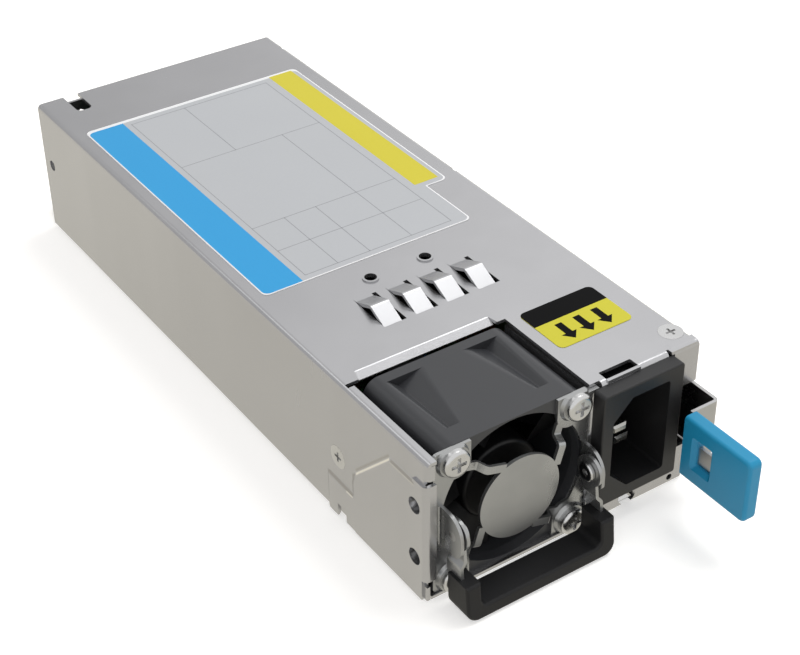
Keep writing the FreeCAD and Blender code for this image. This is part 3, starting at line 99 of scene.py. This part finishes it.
def scaled(colour, times, plus=0.0):
    # the same hue, brighter or deeper
    return tuple(min(1.0, channel * times + plus) for channel in colour[:3]) + (1.0,)


def grey(level, tint=(1, 1, 1)):
    return tuple(level * channel for channel in tint) + (1,)


class Signal:
    # a node's output that takes part in expressions; every operator adds one Math node

    def __init__(self, tree, socket):
        self.tree = tree
        self.socket = socket

    def math(self, operation, first, second=0.0):
        node = self.tree.nodes.new("ShaderNodeMath")
        node.operation = operation
        for entry, value in zip(node.inputs, (first, second)):
            if isinstance(value, Signal):
                self.tree.links.new(value.socket, entry)
            else:
                entry.default_value = value
        return Signal(self.tree, node.outputs[0])

    def __add__(self, other):
        return self.math("ADD", self, other)

    def __radd__(self, other):
        return self.math("ADD", other, self)

    def __sub__(self, other):
        return self.math("SUBTRACT", self, other)

    def __rsub__(self, other):
        return self.math("SUBTRACT", other, self)

    def __mul__(self, other):
        return self.math("MULTIPLY", self, other)

    def __rmul__(self, other):
        return self.math("MULTIPLY", other, self)

    def __abs__(self):
        return self.math("ABSOLUTE", self)

    def orElse(self, other):
        # the larger of the two: either mask
        return self.math("MAXIMUM", self, other)


class Wiring:
    # adds nodes to a tree one call at a time

    def __init__(self, tree):
        self.tree = tree

    def node(self, kind, settings=None, inputs=None, output=0):
        made = self.tree.nodes.new("ShaderNode" + kind)
        for key, value in (settings or {}).items():
            if key == "stops":
                self.fillRamp(made.color_ramp, value)
            else:
                setattr(made, key, value)
        for key, value in (inputs or {}).items():
            self.feed(made.inputs[key], value)
        return Signal(self.tree, made.outputs[output])

    def feed(self, entry, value):
        if isinstance(value, Signal):
            self.tree.links.new(value.socket, entry)
        else:
            entry.default_value = value

    def fillRamp(self, ramp, stops):
        while len(ramp.elements) < len(stops):
            ramp.elements.new(0.5)
        for element, (position, colour) in zip(ramp.elements, stops):
            element.position = position
            element.color = colour

    def contrast(self, signal, low, high, start=0.0, end=1.0):
        # start below low, end above high, straight between
        return self.node("MapRange", {"clamp": True},
                         {"Value": signal, "From Min": low, "From Max": high, "To Min": start, "To Max": end})

    def mix(self, amount, first, second):
        # a Mix node's socket 0 is its share, 6 and 7 are its colours, and output 2 is the mixed colour
        return self.node("Mix", {"data_type": "RGBA"}, {0: amount, 6: first, 7: second}, 2)

    def separate(self, vector):
        parts = self.tree.nodes.new("ShaderNodeSeparateXYZ")
        self.tree.links.new(vector.socket, parts.inputs[0])
        return [Signal(self.tree, output) for output in parts.outputs]


class Finish(Wiring):
    # a material around one Principled shader

    def __init__(self, name, constants):
        self.material = bpy.data.materials.new(name)
        self.material.use_nodes = True
        super().__init__(self.material.node_tree)
        self.shader = self.tree.nodes["Principled BSDF"]
        for socket, value in constants.items():
            self.shader.inputs[socket].default_value = value
        self.here = self.node("TexCoord", output="Object")

    def noise(self, scale, detail=3.0, stretch=(1, 1, 1)):
        # grey noise; stretch squeezes the pattern along X, Y or Z
        where = self.node("Mapping", inputs={"Vector": self.here, "Scale": stretch})
        return self.node("TexNoise", inputs={"Vector": where, "Scale": scale, "Detail": detail})

    def bump(self, height, distance, strength=1.0):
        normal = self.node("Bump", inputs={"Height": height, "Distance": distance, "Strength": strength},
                           output="Normal")
        self.drive("Normal", normal)

    def drive(self, socket, value):
        self.feed(self.shader.inputs[socket], value)


# Sheet steel; noise sizes are patterns per metre and bump depths metres, here and in all finishes

sheetSteel = {
    "metallic": 0.9,
    "base": "BDBDBF", "light": "C2C2C4", "dark": "BABABC",
    "roughness": (0.23, 0.28),
    "cloudSize": 38.0, "cloudSpan": (0.35, 0.68), "cloudGloss": 0.6,
    "grainSize": 900.0, "grainDepth": 0.000004, "grainBump": 0.12, "grainGloss": 0.4,
    "grainStretch": (1.0, 1.0, 0.04),     # the grain runs along Z
    "streakSize": 120.0, "streakSpan": (0.45, 0.75), "streakShare": 0.3,
}
paintedStepLines = {
    # painted highlights (the pale bars) and painted shade (the dark bars) along the slopes of the left wall's
    # pressed step:
    # from (y, z) to (y, z) in case millimetres, half the width, colour, strength
    "bars": [
        ((26.0, 18.3), (12.5, 31.8), 0.24, "F2EFE8", 1.0),
        ((26.5, 18.9), (12.9, 32.5), 0.3, "A19D95", 0.5),
        ((12.3, 31.7), (3.2, 31.7), 0.3, "8F8B82", 0.5),
        ((12.3, 31.2), (3.2, 31.2), 0.16, "D8D5CC", 0.5),
        ((27.0, 11.3), (38.0, 11.3), 0.35, "8F8B82", 0.5),
        ((27.0, 10.8), (30.0, 10.8), 0.2, "F2EFE8", 0.7),
        ((27.5, 12.0), (27.3, 17.6), 0.4, "8A8883", 0.55),
        ((37.8, 10.8), (37.8, 4.0), 0.2, "55524C", 0.6),
    ],
    "endFade": 0.4,             # millimetres
    "sideFade": (0.5, 1.5),     # times half the width
    "wallFade": (0.2, 0.4),     # millimetres in from the wall's plane
}


# paints highlights and shade into the base colour along the pressed step: pale bars are painted highlights,
# dark bars painted shade
def paintStepShadeAndHighlights(finish, base, look):
    x, y, z = finish.separate(finish.here)
    near, far = (-caseRight + depth * mm for depth in look["wallFade"])
    onWall = finish.contrast(x, near, far, 1.0, 0.0)
    inner, outer = look["sideFade"]
    for first, second, half, colour, strength in look["bars"]:
        low, high = place([(0, *first), (0, *second)])[:, 1:]
        span = np.linalg.norm(high - low)
        along = (high - low) / span
        middle = (low + high) / 2
        # position along and across the bar: the dot and cross product with its direction
        lengthways = abs((y - middle[0]) * along[0] + (z - middle[1]) * along[1])
        across = abs((y - middle[0]) * along[1] - (z - middle[1]) * along[0])
        paintedMask = (finish.contrast(lengthways, span / 2 - look["endFade"] * mm, span / 2, 1.0, 0.0)
                  * finish.contrast(across, inner * half * mm, outer * half * mm, 1.0, 0.0))
        # each bar's painted highlight or painted shade is mixed into the sheet's colour
        base = finish.mix(paintedMask * onWall * strength, base, hexColour(colour))
    return base


def makeSheetSteel(name, look, paintedLines=None):
    finish = Finish(name, {"Metallic": look["metallic"]})
    stretch = look["grainStretch"]
    clouds = finish.contrast(finish.noise(look["cloudSize"], 4.0), *look["cloudSpan"])
    grain = finish.noise(look["grainSize"], 2.0, stretch)
    streaks = finish.contrast(finish.noise(look["streakSize"], 3.0, stretch), *look["streakSpan"])
    base = finish.mix(clouds, hexColour(look["dark"]), hexColour(look["base"]))
    base = finish.mix(streaks * look["streakShare"], base, hexColour(look["light"]))
    # painted highlights and painted shade along the pressed step
    if paintedLines:
        base = paintStepShadeAndHighlights(finish, base, paintedLines)
    finish.drive("Base Color", base)
    low, high = look["roughness"]
    gloss = clouds * look["cloudGloss"] + grain * look["grainGloss"]
    finish.drive("Roughness", low + (high - low) * gloss)
    finish.bump(grain, look["grainDepth"], look["grainBump"])
    return finish.material


# Bright stamped and turned steel

brightSteel = {
    "guard_steel": {"base": "AAABAB", "dark": "9D9E9E", "roughness": 0.21, "metallic": 0.85},
    "screw_steel": {"base": "D2D2D2", "dark": "B4B4B4", "roughness": 0.18, "metallic": 1.0},
    "spring_steel": {"base": "BDBDBD", "dark": "AAAAAA", "roughness": 0.21, "metallic": 1.0},
}
brightGrain = {
    "fineSize": 1500.0, "fineDepth": 0.000003, "fineBump": 0.1, "fineGloss": 0.05,
    "broadSize": 90.0, "broadSpan": (0.3, 0.7), "broadShare": 0.5, "broadGloss": 0.12,
}


def makeBrightSteel(name, look, grain):
    finish = Finish(name, {"Metallic": look["metallic"]})
    fine = finish.noise(grain["fineSize"], 3.0)
    broad = finish.contrast(finish.noise(grain["broadSize"], 3.0), *grain["broadSpan"])
    base = finish.mix(broad * grain["broadShare"], hexColour(look["base"]), hexColour(look["dark"]))
    finish.drive("Base Color", base)
    finish.drive("Roughness", look["roughness"] + grain["broadGloss"] * broad + grain["fineGloss"] * fine)
    finish.bump(fine, grain["fineDepth"], grain["fineBump"])
    return finish.material


# Moulded plastics: fine spark-eroded grain, slight change of gloss and a little dust-grey

plastics = {
    # colour, roughness, shine, grain size, grain depth, share of mottling
    "black_plastic": ("202021", 0.42, 0.4, 2600.0, 0.00003, 0.12),
    "fan_plastic": ("333437", 0.36, 0.5, 3000.0, 0.00001, 0.12),
    "blue_plastic": ("2292BE", 0.34, 0.4, 2600.0, 0.000004, 0.05),
    "grip_rubber": ("1C1C1D", 0.5, 0.25, 2600.0, 0.00003, 0.12),
    "impeller": ("101011", 0.4, 0.3, 3000.0, 0.00001, 0.12),
}
plasticMottle = {
    "size": 60.0,
    "times": 1.35, "plus": 0.004,     # the paler colour
    "broadGloss": 0.10, "fineGloss": 0.05, "bump": 0.5,
}


def makePlastic(name, colour, roughness, shine, grainSize, grainDepth, share):
    mottle = plasticMottle
    finish = Finish(name, {"Specular IOR Level": shine})
    grain = finish.noise(grainSize, 2.0)
    broad = finish.noise(mottle["size"], 3.0)
    base = hexColour(colour)
    pale = scaled(base, mottle["times"], mottle["plus"])
    finish.drive("Base Color", finish.mix(share * 2 * broad, base, pale))
    gloss = mottle["broadGloss"] * (broad - 0.5) + mottle["fineGloss"] * (grain - 0.5)
    finish.drive("Roughness", roughness + gloss)
    finish.bump(grain, grainDepth, mottle["bump"])
    return finish.material


# Circuit board: green solder mask over faint copper tracks and a weave

boardLook = {
    "mask": "1B5A32", "track": "2F7B45", "weave": "0F3A20",
    "coat": 0.3, "coatRoughness": 0.15, "roughness": 0.35, "weaveGloss": 0.1,
    "trackSize": 160.0, "trackWidth": 0.05, "trackOffset": 0.37, "trackSquash": 0.6,
    "trackShare": 0.5, "trackDepth": 0.00003, "trackBump": 0.4,
    "weaveSize": 2500.0, "weaveShare": 0.15,
}


def makeBoard(name, look):
    finish = Finish(name, {"Coat Weight": look["coat"], "Coat Roughness": look["coatRoughness"]})
    bricks = {"Vector": finish.here, "Scale": look["trackSize"], "Mortar Size": look["trackWidth"],
              "Color1": grey(0), "Color2": grey(0), "Mortar": grey(1)}
    tracks = finish.node("TexBrick", {"offset": look["trackOffset"], "squash": look["trackSquash"]}, bricks)
    weave = finish.noise(look["weaveSize"], 1.0)
    base = finish.mix(tracks * look["trackShare"], hexColour(look["mask"]), hexColour(look["track"]))
    finish.drive("Base Color", finish.mix(weave * look["weaveShare"], base, hexColour(look["weave"])))
    finish.drive("Roughness", look["roughness"] + look["weaveGloss"] * weave)
    finish.bump(tracks, look["trackDepth"], look["trackBump"])
    return finish.material


# Inner parts: one colour with fine variation

innerParts = {
    # colour, roughness, metallic, grain size, share of the deeper colour
    "motor_steel": ("8A8A8C", 0.35, 1.0, 700.0, 0.2),
    "gold_plate": ("E2B45A", 0.25, 1.0, 400.0, 0.1),
    "pin_brass": ("B5B4B0", 0.25, 1.0, 500.0, 0.1),
    "film_clear": ("DAD7C8", 0.4, 0.0, 700.0, 0.2),
    "sink_aluminium": ("C6C8CB", 0.35, 1.0, 900.0, 0.1),
    "ferrite": ("4A4A4D", 0.6, 0.0, 700.0, 0.2),
    "powder_core": ("5B7A52", 0.5, 0.0, 700.0, 0.2),
    "winding_copper": ("B8713A", 0.3, 0.8, 1500.0, 0.2),
    "winding_tape": ("D9BE3E", 0.3, 0.0, 700.0, 0.2),
    "can_sleeve": ("23262C", 0.3, 0.0, 700.0, 0.2),
    "can_aluminium": ("C4C6C9", 0.3, 1.0, 700.0, 0.2),
    "package_black": ("262626", 0.5, 0.0, 700.0, 0.2),
    "film_box": ("B9B49C", 0.5, 0.0, 700.0, 0.2),
    "disc_blue": ("3F74B5", 0.35, 0.0, 700.0, 0.2),
    "fuse_glass": ("C9CFCC", 0.2, 0.0, 700.0, 0.2),
    "magnet": ("4A4744", 0.7, 0.0, 700.0, 0.2),
    "plug_white": ("E6E3D8", 0.45, 0.0, 700.0, 0.2),
}
innerGrain = {"deep": 0.6, "gloss": 0.15, "depth": 0.00002, "bump": 0.3}


def makeInner(name, colour, roughness, metallic, grainSize, share):
    finish = Finish(name, {"Metallic": metallic})
    fine = finish.noise(grainSize, 3.0)
    base = hexColour(colour)
    finish.drive("Base Color", finish.mix(share * 2 * fine, base, scaled(base, innerGrain["deep"])))
    finish.drive("Roughness", roughness + innerGrain["gloss"] * (fine - 0.5))
    finish.bump(fine, innerGrain["depth"], innerGrain["bump"])
    return finish.material


slotFinish = {
    "case_steel": makeSheetSteel("case_steel_finish", sheetSteel),
    # the cover's finish has painted highlights and painted shade along the left wall's pressed step
    "cover": makeSheetSteel("cover_finish", sheetSteel, paintedStepLines),
    "board_green": makeBoard("board_green_finish", boardLook),
}
for slot, look in brightSteel.items():
    slotFinish[slot] = makeBrightSteel(slot + "_finish", look, brightGrain)
for slot, look in plastics.items():
    slotFinish[slot] = makePlastic(slot + "_finish", *look)
for slot, look in innerParts.items():
    slotFinish[slot] = makeInner(slot + "_finish", *look)

# nodes whose finish differs from the rest of their slot
ownFinish = {"top_cover": "cover", "fan_impeller": "impeller"}
for row in frame["record"]["subparts"]:
    mesh = nodes[row["node"]].data
    mesh.materials.clear()
    mesh.materials.append(slotFinish[ownFinish.get(row["node"], row["material_slot"])])
print("finishes")


# New pieces

def roundedOutline(corners, steps=8):
    # corners are (x, y, radius); each becomes an arc tangent to its two sides
    corners = np.asarray(corners, dtype=float)
    here = corners[:, :2]
    toBefore = np.roll(here, 1, axis=0) - here
    toAfter = np.roll(here, -1, axis=0) - here
    toBefore /= np.linalg.norm(toBefore, axis=1, keepdims=True)
    toAfter /= np.linalg.norm(toAfter, axis=1, keepdims=True)
    half = np.arccos(np.clip((toBefore * toAfter).sum(axis=1), -1, 1)) / 2
    middle = toBefore + toAfter
    middle /= np.linalg.norm(middle, axis=1, keepdims=True)
    radius = corners[:, 2]
    centre = here + middle * (radius / np.sin(half))[:, None]
    start = here + toBefore * (radius / np.tan(half))[:, None] - centre
    end = here + toAfter * (radius / np.tan(half))[:, None] - centre
    # points along the arc: the two radii blended by angle, sin((1-t)a) and sin(t a) over sin a
    t = np.linspace(0, 1, steps)[None, :, None]
    sweep = (math.pi - 2 * half)[:, None, None]
    blend = np.sin((1 - t) * sweep) * start[:, None, :] + np.sin(t * sweep) * end[:, None, :]
    blend /= np.sin(sweep)
    return (centre[:, None, :] + blend).reshape(-1, 2)


def makeMesh(name, vertices, faces, finish, body):
    mesh = bpy.data.meshes.new(name)
    mesh.from_pydata(place(vertices).tolist(), [], faces)
    mesh.update()
    mesh.materials.append(finish)
    piece = bpy.data.objects.new(name, mesh)
    bpy.context.scene.collection.objects.link(piece)
    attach(piece, body)


def joinLoops(count):
    # side faces between two loops of count points each, the second listed after the first
    ring = np.arange(count)
    after = np.roll(ring, -1)
    return ring, np.column_stack([ring, after, after + count, ring + count])


def makePlate(name, outline, low, high, finish):
    # flat plate: the outline at two levels, closed by its two faces
    count = len(outline)
    vertices = np.vstack([np.column_stack([outline, np.full(count, level)]) for level in (low, high)])
    ring, sides = joinLoops(count)
    faces = sides.tolist() + [ring[::-1].tolist(), (ring + count).tolist()]
    makeMesh(name, vertices, faces, finish, "case")


# Labels: printed film, millimetres

printedFilm = {
    "roughness": 0.42, "shine": 0.2,
    "inkSize": 1200.0, "broadSize": 45.0, "inkShare": 0.35, "deep": 0.9,
    "gloss": 0.12, "depth": 0.000004, "bump": 0.3,
}
ratingLabel = {
    "left": 3.8, "right": 68.6, "front": 69.4, "back": 163.1,
    "notchX": 62.3, "notchY": 88.4, "corner": 1.6, "notchCorner": 0.4,
    "bandRight": 14.3,
    "stripLeft": 59.9, "stripRight": 67.1, "stripFront": 90.4, "stripBack": 162.3, "stripCorner": 0.3,
    "margins": (0.35, 0.35, 0.35, 1.2),   # white border: left, right, front, back
    "thickness": 0.10, "fieldDepth": 0.01, "bandDepth": 0.02, "rulesLift": 0.012,
    "paper": "F4F4F5", "print": "BFC1C4", "blue": "3BA3DE", "yellow": "D8CC42", "ink": "8F9094",
}
labelRules = {
    "width": 0.16,
    "depth": 0.008,
    # thin printed lines, each from (x, y) to (x, y)
    "lines": [
        (16.0, 71.5, 16.0, 160.0), (57.6, 71.5, 57.6, 160.0), (16.0, 71.5, 57.6, 71.5),
        (16.0, 160.0, 57.6, 160.0), (16.0, 84.0, 57.6, 84.0), (16.0, 96.0, 57.6, 96.0),
        (16.0, 132.0, 57.6, 132.0), (25.0, 71.5, 25.0, 96.0), (34.0, 71.5, 34.0, 96.0),
        (46.0, 71.5, 46.0, 132.0), (32.0, 132.0, 32.0, 160.0),
    ],
}
labelLift = 0.005       # film over the sheet
squareCorner = 0.02     # radius of a corner that reads as square


def makePaper(name, colour, shine=printedFilm["shine"]):
    # even colour, faint mottling of the ink and a soft sheen
    look = printedFilm
    finish = Finish(name, {"Specular IOR Level": shine})
    ink = finish.noise(look["inkSize"], 2.0)
    broad = finish.noise(look["broadSize"], 2.0)
    base = hexColour(colour)
    finish.drive("Base Color", finish.mix(look["inkShare"] * ink + look["inkShare"] * broad, base,
                                          scaled(base, look["deep"])))
    finish.drive("Roughness", look["roughness"] + look["gloss"] * (broad - 0.5))
    finish.bump(ink, look["depth"], look["bump"])
    return finish.material


def makeRules(name, look, low, finish):
    # every line becomes a thin closed bar: its box's four corners at two levels
    lines = np.array(look["lines"])
    half = look["width"] / 2
    near = lines[:, :2] - half
    far = lines[:, 2:] + half
    low = np.full(len(lines), low)
    high = low + look["depth"]
    corners = [
        np.column_stack([x, y, z])
        for z in (low, high)
        for x, y in ((near[:, 0], near[:, 1]), (far[:, 0], near[:, 1]), (far[:, 0], far[:, 1]),
                     (near[:, 0], far[:, 1]))
    ]
    vertices = np.stack(corners, axis=1).reshape(-1, 3)
    bar = np.array([(3, 2, 1, 0), (4, 5, 6, 7), (0, 1, 5, 4), (1, 2, 6, 5), (2, 3, 7, 6), (3, 0, 4, 7)])
    faces = (bar[None] + 8 * np.arange(len(lines))[:, None, None]).reshape(-1, 4)
    makeMesh(name, vertices, faces.tolist(), finish, "case")


def makeRatingLabel(look, rules):
    r = look["corner"]
    notch = look["notchCorner"]
    low = caseTop + labelLift
    high = low + look["thickness"]
    outline = roundedOutline([
        (look["left"], look["front"], r), (look["notchX"], look["front"], r),
        (look["notchX"], look["notchY"], notch), (look["right"], look["notchY"], r),
        (look["right"], look["back"], r), (look["left"], look["back"], r),
    ])
    makePlate("rating_label", outline, low, high, makePaper("label_paper", look["paper"]))
    marginLeft, marginRight, marginFront, marginBack = look["margins"]
    left = look["left"] + marginLeft
    right = look["right"] - marginRight
    front = look["front"] + marginFront
    back = look["back"] - marginBack
    notchX = look["notchX"] - marginRight
    notchY = look["notchY"] + marginFront
    edge = look["bandRight"]
    field = roundedOutline([
        (edge, front, squareCorner), (notchX, front, r), (notchX, notchY, notch), (right, notchY, r),
        (right, back, r), (edge, back, squareCorner),
    ])
    makePlate("label_field", field, high, high + look["fieldDepth"], makePaper("label_print", look["print"]))
    band = roundedOutline([
        (left, front, r), (edge, front, squareCorner), (edge, back, squareCorner), (left, back, r),
    ])
    top = high + look["bandDepth"]
    makePlate("label_band", band, high, top, makePaper("label_blue", look["blue"]))
    soft = look["stripCorner"]
    strip = roundedOutline([
        (look["stripLeft"], look["stripFront"], soft), (look["stripRight"], look["stripFront"], soft),
        (look["stripRight"], look["stripBack"], soft), (look["stripLeft"], look["stripBack"], soft),
    ])
    makePlate("label_strip", strip, high, top, makePaper("label_yellow", look["yellow"]))
    makeRules("label_rules", rules, high + look["rulesLift"], makePaper("label_ink", look["ink"]))


airflowLabel = {
    "left": 46.5, "right": 67.2, "front": 14.7, "back": 30.3, "corner": 1.5,
    "bandFront": 24.2, "thickness": 0.1, "printDepth": 0.02,
    "arrowPitch": 5.1, "arrowLength": 6.5, "arrowHead": 4.2, "arrowShaft": 1.9, "arrowMiddle": 19.4,
    "headSlope": 1.15,      # the head's length over half its width
    "yellow": "D3CC3E", "black": "060607", "blackShine": 0.05,
}


def makeAirflowLabel(look):
    low = caseTop + labelLift
    high = low + look["thickness"]
    top = high + look["printDepth"]
    r = look["corner"]
    outline = roundedOutline([
        (look["left"], look["front"], r), (look["right"], look["front"], r),
        (look["right"], look["back"], r), (look["left"], look["back"], r),
    ])
    makePlate("airflow_label", outline, low, high, makePaper("airflow_yellow", look["yellow"]))
    band = roundedOutline([
        (look["left"], look["bandFront"], squareCorner), (look["right"], look["bandFront"], squareCorner),
        (look["right"], look["back"], r), (look["left"], look["back"], r),
    ])
    black = makePaper("airflow_black", look["black"], look["blackShine"])
    makePlate("airflow_band", band, high, top, black)
    # three arrows that point to the front, along -y
    middle = (look["left"] + look["right"]) / 2
    half = look["arrowLength"] / 2
    shaft = look["arrowShaft"] / 2
    head = look["arrowHead"] / 2
    neck = -half + head * look["headSlope"]
    arrow = np.array([(0, -half), (head, neck), (shaft, neck), (shaft, half), (-shaft, half),
                      (-shaft, neck), (-head, neck)])
    for index in (-1, 0, 1):
        centre = np.array([middle + index * look["arrowPitch"], look["arrowMiddle"]])
        makePlate("airflow_arrow_" + str(index + 2), arrow + centre, high, top, black)


makeRatingLabel(ratingLabel, labelRules)
makeAirflowLabel(airflowLabel)
print("labels")


# The cover's front flange, at its right corner

cornerFlange = {
    "left": 66.3, "right": 73.42, "bottom": 28.2,
    "face": -0.12,       # just in front of the tray's panel
    "radius": 1.2, "thickness": 0.7, "steps": 8,
    "tail": 1.6,         # how far it runs back under the top, past the fold
    "lift": 0.01,
}


def makeCornerFlange(look):
    # bent sheet: down the front, round the fold and back under the top, as a closed section along x
    r = look["radius"]
    t = look["thickness"]
    face = look["face"]
    top = caseTop + look["lift"]
    back = face + r + look["tail"]
    turn = np.linspace(0, math.pi / 2, look["steps"])
    centre = np.array([face + r, top - r])
    # outer and inner arcs: (centre - r cos a, centre + r sin a)
    arc = np.column_stack([-np.cos(turn), np.sin(turn)])
    outer = np.vstack([[(face, look["bottom"])], centre + r * arc, [(back, top)]])
    inner = np.vstack([[(back, top - t)], (centre + (r - t) * arc)[::-1], [(face + t, look["bottom"])]])
    section = np.vstack([outer, inner])
    count = len(section)
    ends = [np.column_stack([np.full(count, x), section]) for x in (look["left"], look["right"])]
    ring, sides = joinLoops(count)
    faces = sides[:, ::-1].tolist() + [ring.tolist(), (ring[::-1] + count).tolist()]
    makeMesh("corner_flange", np.vstack(ends), faces, slotFinish["case_steel"], "case")


makeCornerFlange(cornerFlange)
print("flange")


# Floor, world and lamps

studio = {
    "floorSize": 6.0,
    "floorColour": 0.86,
    "floorTint": (1.0, 0.975, 0.94),
    "floorRoughness": 0.9,
    "mottleSize": 30.0, "mottleShare": 0.3, "mottleDark": 0.98,
    "floorGlow": 0.5,           # seen by the camera only, so that the shadow stays light
    "worldLight": 0.52,         # what diffuse surfaces receive
    "skyTurn": 0.45,            # a reflected ray counts as back minus this share of right ...
    "skySpan": (0.42, 0.66),    # ... and over this span
    "skyLevel": (1.04, 0.61),   # the sky that metal sees falls off
    "mirrorSpan": (-0.14, 0.16),   # floor as metal sees it: from the front to the back of the case
    "mirrorStops": [(0.0, 0.76), (0.55, 0.74), (0.88, 0.83)],
    "mirrorTint": (1.0, 0.96, 0.85),
}
lamps = [
    # name, place, target, size, power, and whether metal mirrors it
    ("key_lamp", (0.48, -0.07, 1.02), (0, 0, 0.02), (0.6, 0.6), 5.7, False),
    ("fill_lamp", (-0.7, -0.9, 0.6), (0, 0, 0.02), (0.7, 0.7), 1.2, False),
    ("glint_lamp", (0.50, 0.18, 1.0), (0, -0.04, 0.04), (0.5, 0.26), 1.2, True),
    ("rim_lamp", (-0.28, 0.62, 0.79), (0.0, -0.05, 0.03), (0.3, 0.3), 0.25, True),
]


def makeFloor(look):
    half = look["floorSize"] / 2
    mesh = bpy.data.meshes.new("floor")
    corners = [(-half, -half, 0), (half, -half, 0), (half, half, 0), (-half, half, 0)]
    mesh.from_pydata(corners, [], [(0, 1, 2, 3)])
    floor = bpy.data.objects.new("floor", mesh)
    bpy.context.scene.collection.objects.link(floor)
    finish = Finish("floor_finish", {"Roughness": look["floorRoughness"], "Emission Strength": 1.0})
    paint = look["floorColour"]
    tint = look["floorTint"]
    mottle = finish.noise(look["mottleSize"], 2.0) * look["mottleShare"]
    pale = finish.mix(mottle, grey(paint, tint), grey(look["mottleDark"] * paint, tint))
    byCamera = finish.node("LightPath", output="Is Camera Ray")
    byMetal = finish.node("LightPath", output="Is Glossy Ray")
    back = finish.separate(finish.here)[1]
    stops = [(position, grey(level, look["mirrorTint"])) for position, level in look["mirrorStops"]]
    mirrored = finish.node("ValToRGB", {"stops": stops}, {"Fac": finish.contrast(back, *look["mirrorSpan"])})
    glow = finish.mix(byCamera, grey(0), grey(look["floorGlow"]))
    finish.drive("Base Color", finish.mix(byMetal, pale, grey(0)))
    finish.drive("Emission Color", finish.mix(byMetal, glow, mirrored))
    mesh.materials.append(finish.material)


def makeWorld(look):
    world = bpy.data.worlds.new("studio_world")
    bpy.context.scene.world = world
    world.use_nodes = True
    sky = Wiring(world.node_tree)
    background = sky.tree.nodes["Background"]
    right, back = sky.separate(sky.node("TexCoord", output="Generated"))[:2]
    level = sky.contrast(back - look["skyTurn"] * right, *look["skySpan"], *look["skyLevel"])
    byCamera = sky.node("LightPath", output="Is Camera Ray")
    through = sky.node("LightPath", output="Is Transmission Ray")
    byMetal = sky.node("LightPath", output="Is Glossy Ray")
    plain = look["worldLight"]
    strength = plain + byCamera.orElse(through) * (1 - plain) + byMetal * (level - plain)
    background.inputs["Color"].default_value = grey(1)
    sky.feed(background.inputs["Strength"], strength)


def makeLamp(name, eye, target, size, power, mirrored):
    data = bpy.data.lights.new(name, "AREA")
    data.shape = "RECTANGLE"
    data.size, data.size_y = size
    data.energy = power
    lamp = bpy.data.objects.new(name, data)
    bpy.context.scene.collection.objects.link(lamp)
    lamp.visible_glossy = mirrored
    lamp.location = eye
    lamp.rotation_euler = (Vector(target) - Vector(eye)).to_track_quat("-Z", "Y").to_euler()


makeFloor(studio)
makeWorld(studio)
for lamp in lamps:
    makeLamp(*lamp)
print("studio")
